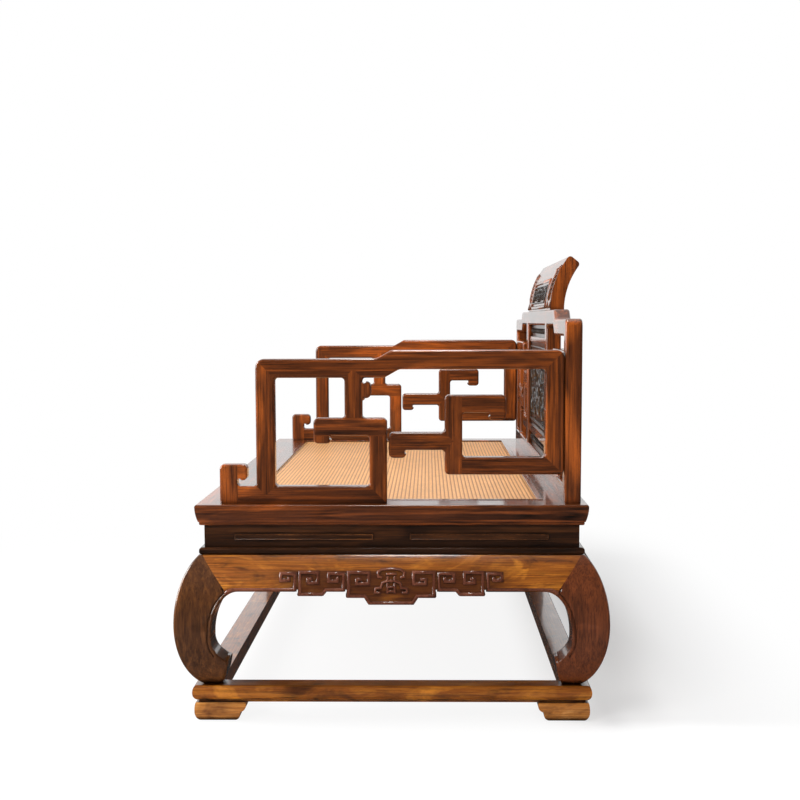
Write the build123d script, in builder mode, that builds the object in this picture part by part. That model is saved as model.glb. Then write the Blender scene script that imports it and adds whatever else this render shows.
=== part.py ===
from build123d import *
import os
from collections import namedtuple
from math import asin, cos, degrees, radians, sin, sqrt

# A luohan daybed in joined rosewood: a waisted couch on bulging horse-hoof legs and a base frame,
# with a cane seat, two openwork arms and a stepped back under a backward-curling crest.
# X runs along the length, -Y is the front, +Z is up, and the origin is the centre of the floor plan.
# Sections are drawn in (edge, z), where edge is counted outwards from the rim of the seat.

# ---------------------------------------------------------------- seat, waist and legs (millimetres)

seat_length = 1960.0
seat_depth = 894.0
seat_height = 500.0
joint_play = 0.3                # clearance on each side of a tenon in its mortise

rail_width = 110.0              # seat frame, seen from above
rail_tongue_low = 30.0          # tongues at the frame's mitres: from the seat down to their underside,
rail_tongue_high = 18.0         # down to their top,
rail_tongue_reach = 92.0        # and how far they reach
rim_height = 39.5               # thumb moulding round the seat
rim_sink = 7.0                  # how far the thumb moulding falls back at its foot
rim_round = 5.0
bead_height = 8.0               # bead under the thumb moulding
bead_inset = 9.0
cane_rebate = 13.0              # ledge that carries the edge of the cane
cane_depth = 7.0                # depth of that ledge below the seat
cane_thickness = 4.0
strip_crown = 1.5               # how far the pressing strips stand above the seat
strip_round = 1.5
brace_width = 50.0
brace_height = 30.0
brace_drop = 12.0               # from the seat to the top of a brace at the rails
brace_sag = 28.0                # braces dip in the middle, clear of the cane
brace_spacing = 490.0
brace_tenon = 25.0

waist_height = 51.0
waist_inset = 19.5
waist_thickness = 22.0
nosing_height = 16.5            # moulding between the waist and the apron
nosing_inset = 8.0
line_height = 15.5              # raised bars on the waist
line_drop = 19.5                # from the top of the waist to a bar
line_relief = 3.0
short_line_length = 318.0
short_line_gap = 82.0
long_line_length = 410.0
long_line_gap = 60.0

belly = 46.0                    # legs and aprons swell this far past the rim of the seat
belly_drop = 156.0              # from the top of the leg to its fullest point
belly_round = 96.0              # half width of the ellipses that draw the swelling
shoulder_rise = 174.0           # half height of the ellipse above the fullest point
hoof_fall = 157.0               # and of the one below it
leg_width = 84.5                # across the leg at its fullest point
leg_arris = 7.0                 # rounding of the leg's outer corner
leg_tip = 8.5                   # width of the leg's shoulder where it runs out between the aprons
arch_width = 62.0               # quarter ellipse between the apron and the leg
arch_height = 105.5
mitre_angle = 68.0              # where the shoulder mitre meets that ellipse
apron_depth = 77.5              # from the top of the apron to its straight lower edge
apron_thickness = 30.0
hoof_curl = 34.5                # how far the hoof curls in past the leg
hoof_tip_height = 58.0          # from the base frame to the tip of the hoof
hoof_neck_height = 114.0        # from the base frame to where the hoof starts to curl
hoof_tip_round = 3.5
hoof_sole = 41.5                # width of the hoof where it stands
core_size = 58.0                # squared top of the leg, behind the waist
leg_tenon = 15.0                # height of the tenons at both ends of the leg
head_tenon = 34.0               # and their widths
foot_tenon = 20.0
shoulder_tongue = 20.0          # how far an apron's tongue reaches into the leg
tongue_height = 20.0
tongue_thickness = 10.0

pendant_depth = 28.5            # lower edge of the apron: a pendant in the middle,
shelf_depth = 13.5              # a shelf on each side of it,
tab_depth = 9.5                 # and a tab between two notches
notch_radius = 4.5
cusp_round = 4.0                # rounding of their corners
pendant_slope = 10.0            # width of the slope between pendant and shelf
tab_slope = 8.0                 # and of the one at the inner end of the tab

Cusps = namedtuple("Cusps", "pendant shelf tab_start tab_end")
short_cusps = Cusps(51.0, 102.0, 147.0, 212.0)     # places along a short apron, from its middle
long_cusps = Cusps(102.0, 250.0, 430.0, 600.0)     # and along a long one

base_height = 40.0              # frame under the hooves
base_width = 63.0
base_overhang = 11.0
base_round = 9.0                # rounding of the frame's upper edge, seen from above,
base_brow = 17.0                # and in height
base_undercut = 14.0            # how far the frame falls back towards its underside
base_fillet = 5.0               # height of the flat strip under that curve
base_tongue_low = 12.0          # tongues at the base frame's mitres, above its underside
base_tongue_high = 22.0
base_tongue_reach = 50.0
foot_height = 44.0
foot_length = 117.0
foot_slope = 26.0               # how far the inner end of a foot leans back towards its sole
foot_lip = 12.0                 # how far its upper lobe does
foot_inset = 4.0                # from the edge of the base frame
foot_round = 15.0               # rounding at the sole, seen from above,
foot_heel = 24.0                # and in height
foot_brow = 4.0                 # how far the foot draws in again at its top
peg_radius = 8.0                # round peg that joins a foot to the base frame
peg_height = 9.0

# ---------------------------------------------------------------- arms and back

soften = 6.0                    # rounding along the edges of arms and back
frame_bar = 43.0                # width of the main bars
fret_bar = 40.0                 # width of the scroll bars
corner_round = 20.0             # outer corners of the main frames
scroll_round = 11.0             # outer corners of the scrolls
nook_round = 8.0                # inner corners
eye_radius = 4.5                # round eye behind the lip of a hook
lip_drop = 18.0                 # how far a hook's lip hangs below its bar
ear_width = 20.0
ear_height = 38.0
ear_gap = 8.0                   # slot between an ear and the bar above it
scroll_gap = 4.0                # between a linking hook and the bar that it points at
tenon_thickness = 12.0
tenon_width = 18.0
tenon_skin = 6.0                # wood left beyond the end of a tenon
foot_pin_depth = 14.0           # tenons that seat arms and back on the couch
foot_pin_length = 30.0
arm_pin_setback = 60.0          # from each end of the arm's sill
back_pin_places = (300.0, 800.0)                   # from the middle of the back

arm_thickness = 38.0
arm_inset = 28.0                # from the rim of the seat to the arm's outer face
arm_setback = 55.0              # from the front rim of the seat to the arm's front hook
hook_height = 90.0              # front hook above the seat
hook_reach = 63.0
hook_slot = 13.0                # slot between the front hook and its sill
post_setback = 84.0             # from the front hook to the front post
arm_height = 329.0              # front of the top rail above the seat
arm_step = 19.0                 # rise of the top rail towards the back
step_place = 392.0              # from the front hook to the top of the step
step_run = 34.0
step_skew = 18.0                # the step's underside follows this far behind its top
arm_scroll_height = 195.0       # top of the front scroll above the seat
arm_scroll_place = 382.0        # from the front hook to the far side of the front scroll
arm_scroll_length = 167.0
arm_strut_place = 71.0          # from the front scroll's tip to its strut
box_height = 66.0               # rear scroll: underside above the seat,
box_top = 247.0                 # top above the seat,
box_length = 271.0              # reach from the back,
box_hook = 139.0                # and length of its upper hook
link_height = 122.0             # linking hook: underside above the seat

back_thickness = 39.0
back_inset = 16.0               # from the rim of the seat to the back's rear face
back_end_inset = 28.0           # from the end of the seat to the back's end post
back_height = 418.0             # outer part of the back above the seat
back_step = 23.0
back_step_place = 626.0         # from the middle of the back to the top of the step
stile_width = 55.0
centre_width = 680.0            # between the stiles
lock_rail_place = 78.0          # lock rails beside the carved panel, above the seat
lock_rail_height = 22.0
lock_rail_thickness = 27.0
ledge_rail_place = 352.0
ledge_rail_height = 14.0
panel_thickness = 16.0
panel_tongue = 8.0
infill_thickness = 12.0
back_scroll_height = 195.0      # lower scroll: top above the seat,
back_scroll_place = 204.0       # and place of its upright, inside the end post
back_scroll_length = 155.0
back_strut_place = 57.0         # from the upright's far side to the strut
upper_hook_height = 306.0       # underside of the upper hook above the seat
upper_hook_length = 320.0
inner_box_height = 76.0         # inner scroll: underside above the seat,
inner_box_top = 257.0
inner_box_reach = 150.0         # and reach from the stile
inner_box_hook = 125.0
inner_link_height = 132.0

crest_length = 840.0
crest_radius = 208.0            # curl of the crest, along the middle of its section
crest_sweep = 38.6              # degrees
crest_thickness = 36.0
crest_round = 9.0
crest_lean = 6.0                # the crest's middle stands behind the middle of the rail
crest_tenon_spacing = 400.0
crest_tenon_length = 60.0

# ---------------------------------------------------------------- heights and planes worked out

rim_bottom = seat_height - rim_height
frame_bottom = rim_bottom - bead_height
waist_bottom = frame_bottom - waist_height
leg_top = waist_bottom - nosing_height
base_top = foot_height + base_height
belly_z = leg_top - belly_drop
arch_top = leg_top - apron_depth
core_inset = waist_inset + waist_thickness
cane_top = seat_height - cane_depth + cane_thickness
half_depth = seat_depth / 2
half_length = seat_length / 2
brace_places = (-brace_spacing, 0.0, brace_spacing)

SIDES = {"front": (0, -1, 0), "rear": (0, 1, 0), "left": (-1, 0, 0), "right": (1, 0, 0)}
HALF = {"front": half_depth, "rear": half_depth, "left": half_length, "right": half_length}
RUN = {"front": half_length, "rear": half_length, "left": half_depth, "right": half_depth}
CORNERS = {"front_left": (-1, -1), "front_right": (1, -1), "rear_left": (-1, 1), "rear_right": (1, 1)}


def section_plane(side):
    """Upright plane across one side of the bed: its x points outwards and its y up."""
    outward = Vector(*SIDES[side])
    return Plane(origin=(0, 0, 0), x_dir=outward, z_dir=outward.cross(Vector(0, 0, 1)))


def face_plane(side, edge=0.0):
    """Upright plane along one side of the bed, at a distance outside the rim of the seat."""
    outward = Vector(*SIDES[side])
    return Plane(origin=outward * (HALF[side] + edge), x_dir=Vector(0, 0, 1).cross(outward), z_dir=outward)


def plan_plane(side, z=0.0):
    """Level plane whose x points outwards from one side of the bed."""
    return Plane(origin=(0, 0, z), x_dir=SIDES[side], z_dir=(0, 0, 1))


def corner_plane(corner, z=0.0):
    """Level plane at one corner of the seat's rim."""
    x_sign, y_sign = CORNERS[corner]
    return Plane(origin=(x_sign * half_length, y_sign * half_depth, z))


def save(part, name):
    """Write one node."""
    part.label = name
    export_step(part, f"parts/{name}.step")


def save_group(parts, name):
    """Write several separate solids as one node."""
    for part in parts:
        part.label = name
    export_step(Compound(label=name, children=parts), f"parts/{name}.step")


# ---------------------------------------------------------------- mitred frames round the bed


def mitred_side(side, section, inner, outer):
    """A moulding along one side of the bed, mitred at both ends, between two edge distances."""
    lead = RUN[side] - HALF[side]
    near, far = HALF[side] + inner, HALF[side] + outer
    with BuildPart() as run:
        with BuildSketch(section_plane(side)):
            with Locations((HALF[side], 0)):
                add(section)
        extrude(amount=RUN[side] + outer, both=True)
        with BuildSketch(plan_plane(side)):
            Polygon(
                (near, -near - lead), (far, -far - lead), (far, far + lead), (near, near + lead), align=None
            )
        extrude(amount=2 * seat_height, mode=Mode.INTERSECT)
    return run.part


def corner_tongues(side, inner, outer, low, high, reach, play=0.0):
    """The tenons at both ends of a long side, or with play the mortises that take them."""
    with BuildPart() as tongues:
        with BuildSketch(plan_plane(side, low - play)):
            for end in (-1, 1):
                start = RUN[side] + inner
                with Locations((HALF[side] + (inner + outer) / 2, end * (start + reach / 2))):
                    Rectangle((outer - inner) / 3 + 2 * play, reach + 2 * play)
        extrude(amount=high - low + 2 * play)
    return tongues.part


def framed_sides(section, inner, outer, low, high, reach):
    """Four mitred sides: the long ones carry tenons and the short ones their mortises."""
    sides = {}
    for side in SIDES:
        with BuildPart() as piece:
            add(mitred_side(side, section, inner, outer))
            if side in ("front", "rear"):
                add(corner_tongues(side, inner, outer, low, high, reach))
            else:
                for long_side in ("front", "rear"):
                    mortises = corner_tongues(long_side, inner, outer, low, high, reach, joint_play)
                    add(mortises, mode=Mode.SUBTRACT)
        sides[side] = piece.part
    return sides


def rim_section():
    """Seat frame: thumb moulding over a bead outside, ledge for the cane inside."""
    ledge = cane_rebate - rail_width
    with BuildSketch() as section:
        with BuildLine():
            top = Line((ledge, seat_height), (-rim_round, seat_height))
            nose = TangentArc(top @ 1, (0, seat_height - rim_round), tangent=(1, 0))
            thumb = ThreePointArc(
                nose @ 1, (-rim_sink / 5, seat_height - rim_height / 2), (-rim_sink, rim_bottom)
            )
            Polyline(
                thumb @ 1,
                (-bead_inset, rim_bottom),
                (-bead_inset, frame_bottom),
                (-rail_width, frame_bottom),
                (-rail_width, seat_height - cane_depth),
                (ledge, seat_height - cane_depth),
                (ledge, seat_height),
            )
        make_face()
        fillet(section.vertices().group_by(Axis.Y)[0].sort_by(Axis.X)[-1], bead_height / 2)
    return section.sketch


def waist_section():
    """Waist board with the rounded moulding under it, worked in one piece."""
    with BuildSketch() as section:
        Polygon(
            (-core_inset, frame_bottom),
            (-waist_inset, frame_bottom),
            (-waist_inset, waist_bottom),
            (-nosing_inset, waist_bottom),
            (-nosing_inset, leg_top),
            (-core_inset, leg_top),
            align=None,
        )
        fillet(section.vertices().sort_by(Axis.X)[-2:], nosing_height * 0.4)
    return section.sketch


def base_section():
    """Base frame: a full rounded edge, fuller above than below, over a flat strip."""
    waistline = base_top - base_brow
    belly_fall = waistline - foot_height - base_fillet
    with BuildSketch() as section:
        with BuildLine():
            top = Line((base_overhang - base_width, base_top), (base_overhang - base_round, base_top))
            EllipticalCenterArc(
                (base_overhang - base_round, waistline), base_round, base_brow, 0, arc_size=90
            )
            cheek = EllipticalCenterArc(
                (base_overhang - base_undercut, waistline), base_undercut, belly_fall, -90, arc_size=90
            )
            Polyline(
                cheek @ 0,
                (base_overhang - base_undercut, foot_height),
                (base_overhang - base_width, foot_height),
                top @ 0,
            )
        make_face()
    return section.sketch


def strip_section():
    """Strip that presses the edge of the cane into its ledge."""
    with BuildSketch() as section:
        Polygon(
            (-rail_width, cane_top),
            (cane_rebate - rail_width, cane_top),
            (cane_rebate - rail_width, seat_height + strip_crown),
            (-rail_width, seat_height + strip_crown),
            align=None,
        )
        fillet(section.vertices().group_by(Axis.Y)[-1], strip_round)
    return section.sketch


def waist_lines(side):
    """Raised bars on the face of one waist board."""
    count, length, gap = 2, short_line_length, short_line_gap
    if side in ("front", "rear"):
        count, length, gap = 4, long_line_length, long_line_gap
    with BuildPart() as bars:
        with BuildSketch(face_plane(side, -waist_inset)):
            with Locations((0, frame_bottom - line_drop - line_height / 2)):
                with GridLocations(length + gap, 0, count, 1):
                    RectangleRounded(length, line_height, line_height / 4)
        extrude(amount=line_relief)
    return bars.part


# ---------------------------------------------------------------- bulging legs and aprons


def swell(z):
    """How far legs and aprons stand outside the rim of the seat at one height."""
    rise = shoulder_rise if z > belly_z else hoof_fall
    return belly - belly_round + belly_round * sqrt(1 - ((z - belly_z) / rise) ** 2)


def swell_angle(z):
    """The same height as an angle on the ellipse that draws the swelling."""
    rise = shoulder_rise if z > belly_z else hoof_fall
    return degrees(asin((z - belly_z) / rise))


def swell_curve(low, high, inset=0.0):
    """The swelling drawn as a line between two heights that lie on the same ellipse."""
    rise = shoulder_rise if high > belly_z else hoof_fall
    start = swell_angle(low)
    return EllipticalCenterArc(
        (belly - belly_round - inset, belly_z), belly_round, rise, start, arc_size=swell_angle(high) - start
    )


arch_edge = belly - leg_width - arch_width              # where the straight edge of an apron ends
mitre_foot = (
    arch_edge + arch_width * cos(radians(mitre_angle)),
    arch_top - arch_height + arch_height * sin(radians(mitre_angle)),
)
mitre_head = (swell(leg_top) - leg_tip, leg_top)
tongue_top = arch_top + 1.3 * tongue_height


def mitre_place(z):
    """Where the shoulder mitre crosses one height."""
    share = (z - mitre_foot[1]) / (mitre_head[1] - mitre_foot[1])
    return mitre_foot[0] + share * (mitre_head[0] - mitre_foot[0])


def leg_outline():
    """One face of a leg, from the sole of the hoof to the shoulder between the aprons."""
    inner_x = belly - leg_width
    neck = (inner_x, base_top + hoof_neck_height)
    tip = (inner_x - hoof_curl, base_top + hoof_tip_height)
    sole = (swell(base_top) - hoof_sole, base_top)
    with BuildSketch() as outline:
        with BuildLine():
            shin = swell_curve(base_top, belly_z)
            brow = swell_curve(belly_z, leg_top)
            Line(brow @ 1, mitre_head)
            Line(mitre_head, mitre_foot)
            arch = EllipticalCenterArc(
                (arch_edge, arch_top - arch_height), arch_width, arch_height, 0, arc_size=mitre_angle
            )
            Line(arch @ 0, neck)
            curl = Spline(neck, tip, tangents=[(0, -1), (-1, -0.7)], tangent_scalars=[1.2, 1.0])
            toe = Spline(tip, sole, tangents=[(0.1, -1), (1, -1.3)])
            Line(toe @ 1, shin @ 0)
        make_face()
        fillet(outline.vertices().sort_by_distance(tip)[0], hoof_tip_round)
    return outline.sketch


def corner_sides(corner):
    """The long and the short side that meet at a corner."""
    x_sign, y_sign = CORNERS[corner]
    return ("rear" if y_sign > 0 else "front", "right" if x_sign > 0 else "left")


def squared(corner, outline):
    """A solid at one corner that shows the same outline from the end of the bed and from its long side."""
    with BuildPart() as body:
        for side, mode in zip(corner_sides(corner), (Mode.ADD, Mode.INTERSECT)):
            with BuildSketch(section_plane(side)):
                with Locations((HALF[side], 0)):
                    add(outline)
            extrude(amount=RUN[side] + 2 * belly, both=True, mode=mode)
    return body.part


def leg_body(corner):
    """Hoof, shin and shoulder of one leg, with its outer corner rounded."""
    with BuildPart() as body:
        add(squared(corner, leg_outline()))
        on_diagonal = [
            edge for edge in body.edges()
            if abs(abs((edge @ 0.5).X) - half_length - abs((edge @ 0.5).Y) + half_depth) < 0.01
        ]
        arris = [edge for edge in on_diagonal if abs((edge @ 0.5).X) > half_length + swell(base_top)]
        fillet(arris, leg_arris)
    return body.part


def apron_outline(side):
    """Lower edge of an apron with its cusps, arches and shoulder mitres, seen from outside."""
    cusps = long_cusps if side in ("front", "rear") else short_cusps
    run = RUN[side]
    shelf_z = arch_top - shelf_depth
    pendant_z = arch_top - pendant_depth
    tab_z = arch_top - tab_depth
    corners = [
        (cusps.pendant, pendant_z),
        (cusps.shelf, shelf_z),
        (cusps.tab_start + tab_slope, tab_z),
        (cusps.tab_end, tab_z),
    ]
    with BuildSketch() as outline:
        with BuildLine():
            edge = Polyline(
                (0, pendant_z),
                corners[0],
                (cusps.pendant + pendant_slope, shelf_z),
                corners[1],
                (cusps.shelf, arch_top),
                (cusps.tab_start, arch_top),
                corners[2],
                corners[3],
                (cusps.tab_end, arch_top),
                (run + arch_edge, arch_top),
            )
            arch = EllipticalCenterArc(
                (run + arch_edge, arch_top - arch_height),
                arch_width,
                arch_height,
                mitre_angle,
                arc_size=90 - mitre_angle,
            )
            Line(arch @ 0, (run + mitre_head[0], leg_top))
            Polyline((run + mitre_head[0], leg_top), (0, leg_top), edge @ 0)
        make_face()
        fillet([outline.vertices().sort_by_distance(corner)[0] for corner in corners], cusp_round)
        with Locations((cusps.shelf, arch_top), (cusps.tab_end, arch_top)):
            Circle(notch_radius, mode=Mode.SUBTRACT)
        mirror(about=Plane.YZ)
    return outline.sketch


def apron_section():
    """Section of an apron: the swelling outside, and the same curve behind it."""
    with BuildSketch() as section:
        with BuildLine():
            front = swell_curve(belly_z, leg_top)
            rear = swell_curve(belly_z, leg_top, apron_thickness)
            Line(front @ 1, rear @ 1)
            Line(rear @ 0, front @ 0)
        make_face()
    return section.sketch


def apron_tongues(side, play=0.0):
    """Tongues that enter the legs from both ends of an apron, or with play their mortises."""
    depth = swell(tongue_top - tongue_height / 2) - apron_thickness / 2
    start = mitre_place(tongue_top) - shoulder_tongue
    finish = mitre_place(tongue_top - tongue_height) + 2 * shoulder_tongue
    with BuildPart() as tongues:
        with BuildSketch(face_plane(side, depth - tongue_thickness / 2 - play)):
            for end in (-1, 1):
                with Locations((end * (RUN[side] + (start + finish) / 2), tongue_top - tongue_height / 2)):
                    Rectangle(finish - start + 2 * play, tongue_height + 2 * play)
        extrude(amount=tongue_thickness + 2 * play)
    return tongues.part


def square_tenon(corner, inset, width, low, play=0.0):
    """Square tenon at a corner of the bed, or with play the mortise that takes it."""
    x_sign, y_sign = CORNERS[corner]
    with BuildPart() as tenon:
        with BuildSketch(corner_plane(corner, low - play)):
            with Locations((-x_sign * inset, -y_sign * inset)):
                Rectangle(width + 2 * play, width + 2 * play)
        extrude(amount=leg_tenon + 2 * play)
    return tenon.part


def head_tenon_block(corner, play=0.0):
    """Tenon from the squared head of a leg into the seat frame."""
    return square_tenon(corner, core_inset + core_size / 2, head_tenon, frame_bottom, play)


def foot_tenon_block(corner, play=0.0):
    """Tenon from the hoof into the base frame."""
    sole_centre = hoof_sole / 2 - swell(base_top)
    return square_tenon(corner, sole_centre, foot_tenon, base_top - leg_tenon, play)


def leg(corner):
    """Leg with its squared head behind the waist, its tenons and the mortises for the apron tongues."""
    x_sign, y_sign = CORNERS[corner]
    centre = core_inset + core_size / 2
    with BuildPart() as piece:
        add(leg_body(corner))
        with BuildSketch(corner_plane(corner, arch_top)):
            with Locations((-x_sign * centre, -y_sign * centre)):
                Rectangle(core_size, core_size)
        extrude(amount=frame_bottom - arch_top)
        add(head_tenon_block(corner))
        add(foot_tenon_block(corner))
        for side in corner_sides(corner):
            add(apron_tongues(side, joint_play), mode=Mode.SUBTRACT)
    return piece.part


def apron(side):
    """Apron: swelling section cut to its outline, with a tongue at each end."""
    with BuildPart() as piece:
        add(mitred_side(side, apron_section(), -core_inset, belly + 1))
        with BuildSketch(face_plane(side, -core_inset)):
            add(apron_outline(side))
        extrude(amount=core_inset + belly + 1, mode=Mode.INTERSECT)
        add(apron_tongues(side))
    return piece.part


# ---------------------------------------------------------------- feet, braces and pins


def foot_outline():
    """One face of a foot: a full curve outside, and two lobes, one above the other, inside."""
    outer = base_overhang - foot_inset
    inner = outer - foot_length
    cusp = (inner + foot_lip, foot_height / 2)
    with BuildSketch() as outline:
        with BuildLine():
            top = Line((inner, foot_height), (outer - foot_brow, foot_height))
            EllipticalCenterArc(
                (outer - foot_brow, foot_heel), foot_brow, foot_height - foot_heel, 0, arc_size=90
            )
            EllipticalCenterArc((outer - foot_round, foot_heel), foot_round, foot_heel, -90, arc_size=90)
            sole = Line((outer - foot_round, 0), (inner + foot_slope, 0))
            lower = TangentArc(sole @ 1, cusp, tangent=(-1, 0.2))
            TangentArc(lower @ 1, top @ 0, tangent=(-1, 0.1))
        make_face()
    return outline.sketch


def foot_peg(corner, play=0.0):
    """Round peg between a foot and the base frame, or with play its hole."""
    x_sign, y_sign = CORNERS[corner]
    inset = base_width / 2 - base_overhang
    with BuildPart() as peg:
        with BuildSketch(corner_plane(corner, foot_height - play)):
            with Locations((-x_sign * inset, -y_sign * inset)):
                Circle(peg_radius + play)
        extrude(amount=peg_height + 2 * play)
    return peg.part


def foot(corner):
    """Square foot under one corner of the base frame."""
    with BuildPart() as piece:
        add(squared(corner, foot_outline()))
        add(foot_peg(corner))
    return piece.part


def brace(place):
    """Bent brace that crosses the seat frame under the cane."""
    inner = half_depth - rail_width
    top = seat_height - brace_drop
    foot = top - brace_height
    with BuildPart() as piece:
        with BuildSketch(Plane.YZ.offset(place - brace_width / 2)):
            with BuildLine():
                upper = ThreePointArc((-inner, top), (0, top - brace_sag), (inner, top))
                lower = ThreePointArc((-inner, foot), (0, foot - brace_sag), (inner, foot))
                Line(upper @ 0, lower @ 0)
                Line(upper @ 1, lower @ 1)
            make_face()
        extrude(amount=brace_width)
        add(brace_tenons(place))
    return piece.part


def brace_tenons(place, play=0.0):
    """Tenons at both ends of a brace, or with play their mortises."""
    inner = half_depth - rail_width
    middle = seat_height - brace_drop - brace_height / 2
    with BuildPart() as tenons:
        with Locations((place, -inner, middle), (place, inner, middle)):
            Box(brace_width / 2 + 2 * play, 2 * (brace_tenon + play), brace_height / 3 + 2 * play)
        if not play:
            with Locations((place, 0, middle)):
                Box(brace_width, 2 * inner, seat_height, mode=Mode.SUBTRACT)
    return tenons.part


def pins(places, play=0.0):
    """Tenons that seat an arm or the back on the couch, centred on the places given."""
    with BuildPart() as blocks:
        for x, y, along_x in places:
            size = (foot_pin_length, tenon_thickness) if along_x else (tenon_thickness, foot_pin_length)
            with BuildSketch(Plane.XY.offset(seat_height - foot_pin_depth - play)):
                with Locations((x, y)):
                    Rectangle(size[0] + 2 * play, size[1] + 2 * play)
            extrude(amount=foot_pin_depth + 2 * play)
    return blocks.part


# ---------------------------------------------------------------- fretwork of arms and back
# A fret is drawn upright in (u, v): u runs along the arm or the back, v is the height. It is a set
# of bars, each across or up, with an end that is a plain number where it stands free, and otherwise
# three places, at the bar's low side, middle and high side, which draw a mitre, a point or a butt.

Bar = namedtuple("Bar", "run low high start end")
Joint = namedtuple("Joint", "bar end into")         # end is "start", "end", or None for a bar kept clear


def mitre(at_low, at_high):
    """End cut on a slant from the low side of the bar to its high side."""
    return (at_low, (at_low + at_high) / 2, at_high)


def point(face, reach):
    """End that enters a crossing bar in a point."""
    return (face, face + reach, face)


def butt(face):
    """Square end against another bar."""
    return (face, face, face)


def bar_box(bar):
    """Corners (u0, v0, u1, v1) of a bar with its mitres and points filled out."""
    places = []
    for end in (bar.start, bar.end):
        places += end if isinstance(end, tuple) else [end]
    if bar.run == "up":
        return (bar.low, min(places), bar.high, max(places))
    return (min(places), bar.low, max(places), bar.high)


def box_face(box, grow=0.0):
    """Rectangle between two corners."""
    u0, v0, u1, v1 = box
    with Locations(((u0 + u1) / 2, (v0 + v1) / 2)):
        Rectangle(u1 - u0 + 2 * grow, v1 - v0 + 2 * grow)


def bar_cell(bar):
    """The room that a bar owns: a little wider than the bar, so that it takes its share of the nooks."""
    half = (bar.high - bar.low) / 2
    stretch = (half + nook_round + 1) / half
    middle = bar.low + half
    lines = []
    for end, beyond in ((bar.start, -1), (bar.end, 1)):
        low, centre, high = end if isinstance(end, tuple) else butt(end + beyond)
        lines.append([
            (middle - half * stretch, centre + (low - centre) * stretch),
            (middle, centre),
            (middle + half * stretch, centre + (high - centre) * stretch),
        ])
    outline = lines[0] + lines[1][::-1]
    if bar.run == "across":
        outline = [(run, side) for side, run in outline]
    Polygon(*outline, align=None)


def bar_tenon(bar, end, plane, thickness, play=0.0):
    """Tenon through the middle of one end of a bar, or with play the mortise that takes it."""
    half = (bar.high - bar.low) / 2
    place = getattr(bar, end)[1]
    toward = 1 if end == "end" else -1
    root = place - toward * half
    tip = place + toward * (half - tenon_skin + play)
    side = (bar.low + half - tenon_width / 2 - play, bar.low + half + tenon_width / 2 + play)
    run = (min(root, tip), max(root, tip))
    box = (side[0], run[0], side[1], run[1]) if bar.run == "up" else (run[0], side[0], run[1], side[1])
    with BuildPart() as tenon:
        with BuildSketch(plane.offset((thickness - tenon_thickness) / 2 - play)):
            box_face(box)
        extrude(amount=tenon_thickness + 2 * play)
    return tenon.part


def diagonal_count(face, vertex):
    """How many of the four diagonal directions lead from a corner into the face."""
    return sum(face.is_inside(vertex.center() + Vector(u, v)) for u in (-1, 1) for v in (-1, 1))


def fret_face(bars, extras, eyes, main_corners, plain_corners):
    """Outline of a whole fret with its corners rounded by their kind."""
    with BuildSketch() as sharp:
        for bar in bars.values():
            box_face(bar_box(bar))
        for shapes in extras.values():
            for shape in shapes:
                Polygon(*shape, align=None)
    face = sharp.face()
    radii = {}
    for vertex in sharp.vertices():
        spot = vertex.center()
        if spot.Y < seat_height + 1 or plain_corners(spot):
            continue
        if any((spot - Vector(*eye)).length < 2 * eye_radius for eye in eyes):
            continue
        radius = {1: scroll_round, 2: corner_round, 3: nook_round}[diagonal_count(face, vertex)]
        if any((spot - Vector(*corner)).length < 1 for corner in main_corners):
            radius = corner_round
        radii.setdefault(radius, []).append(spot)
    with BuildSketch() as rounded:
        add(sharp.sketch)
        for radius, spots in radii.items():
            corners = [v for v in rounded.vertices() if any((v.center() - s).length < 0.01 for s in spots)]
            fillet(corners, radius)
    return rounded.sketch


def fret_blank(face, eyes, plane, thickness):
    """The whole fret in one piece, softened except where it sits or meets its mirror image."""
    with BuildPart() as blank:
        with BuildSketch(plane):
            add(face)
        extrude(amount=thickness)
        edges = blank.faces().filter_by(Plane(origin=(0, 0, 0), z_dir=plane.z_dir)).edges()
        sharp = [edge for edge in edges if edge.center().Z < seat_height + 1 or abs(edge.center().X) < 1]
        fillet([edge for edge in edges if edge not in sharp], soften)
        with BuildSketch(plane):
            with Locations(*eyes):
                Circle(eye_radius)
        extrude(amount=thickness, mode=Mode.SUBTRACT)
    return blank.part


def fret_pieces(blank, plane, thickness, bars, extras, pieces, joints):
    """Cut a blank into pieces, with the tenons and mortises that join them."""
    cut_plane = plane.offset(-1)
    finished = {}
    for name, members in pieces.items():
        landing = [joint for joint in joints if joint.into in members and joint.bar not in members]
        with BuildPart() as piece:
            add(blank)
            entering = [joint.bar for joint in landing]
            for owners, mode in ((members, Mode.INTERSECT), (entering, Mode.SUBTRACT)):
                if not owners:
                    continue
                with BuildSketch(cut_plane):
                    for owner in owners:
                        bar_cell(bars[owner])
                        for shape in extras.get(owner, []):
                            across, upward = [place[0] for place in shape], [place[1] for place in shape]
                            box_face((min(across), min(upward), max(across), max(upward)), 1)
                extrude(amount=thickness + 2, mode=mode)
            for joint in joints:
                if joint.bar in members and joint.end:
                    add(bar_tenon(bars[joint.bar], joint.end, plane, thickness))
            for joint in landing:
                if joint.end:
                    tenon = bar_tenon(bars[joint.bar], joint.end, plane, thickness, joint_play)
                    add(tenon, mode=Mode.SUBTRACT)
        finished[name] = piece.part
    return finished


def lip(tip, inner, underside):
    """The lip at the end of a hook, under its bar."""
    return [(tip, underside - lip_drop), (inner, underside - lip_drop), (inner, underside), (tip, underside)]


def ear(side, outer, ceiling):
    """The ear on a strut, a slot below the bar that it joins."""
    top = ceiling - ear_gap
    return [(side, top - ear_height), (outer, top - ear_height), (outer, top), (side, top)]


def step(place, low, rise, run, skew, width):
    """The stretch of a rail that climbs from its low part to its high part."""
    top = low + width
    return [(place - run, top), (place, top + rise), (place + skew, low + rise), (place - run + skew, low)]


# ---------------------------------------------------------------- arms

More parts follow.
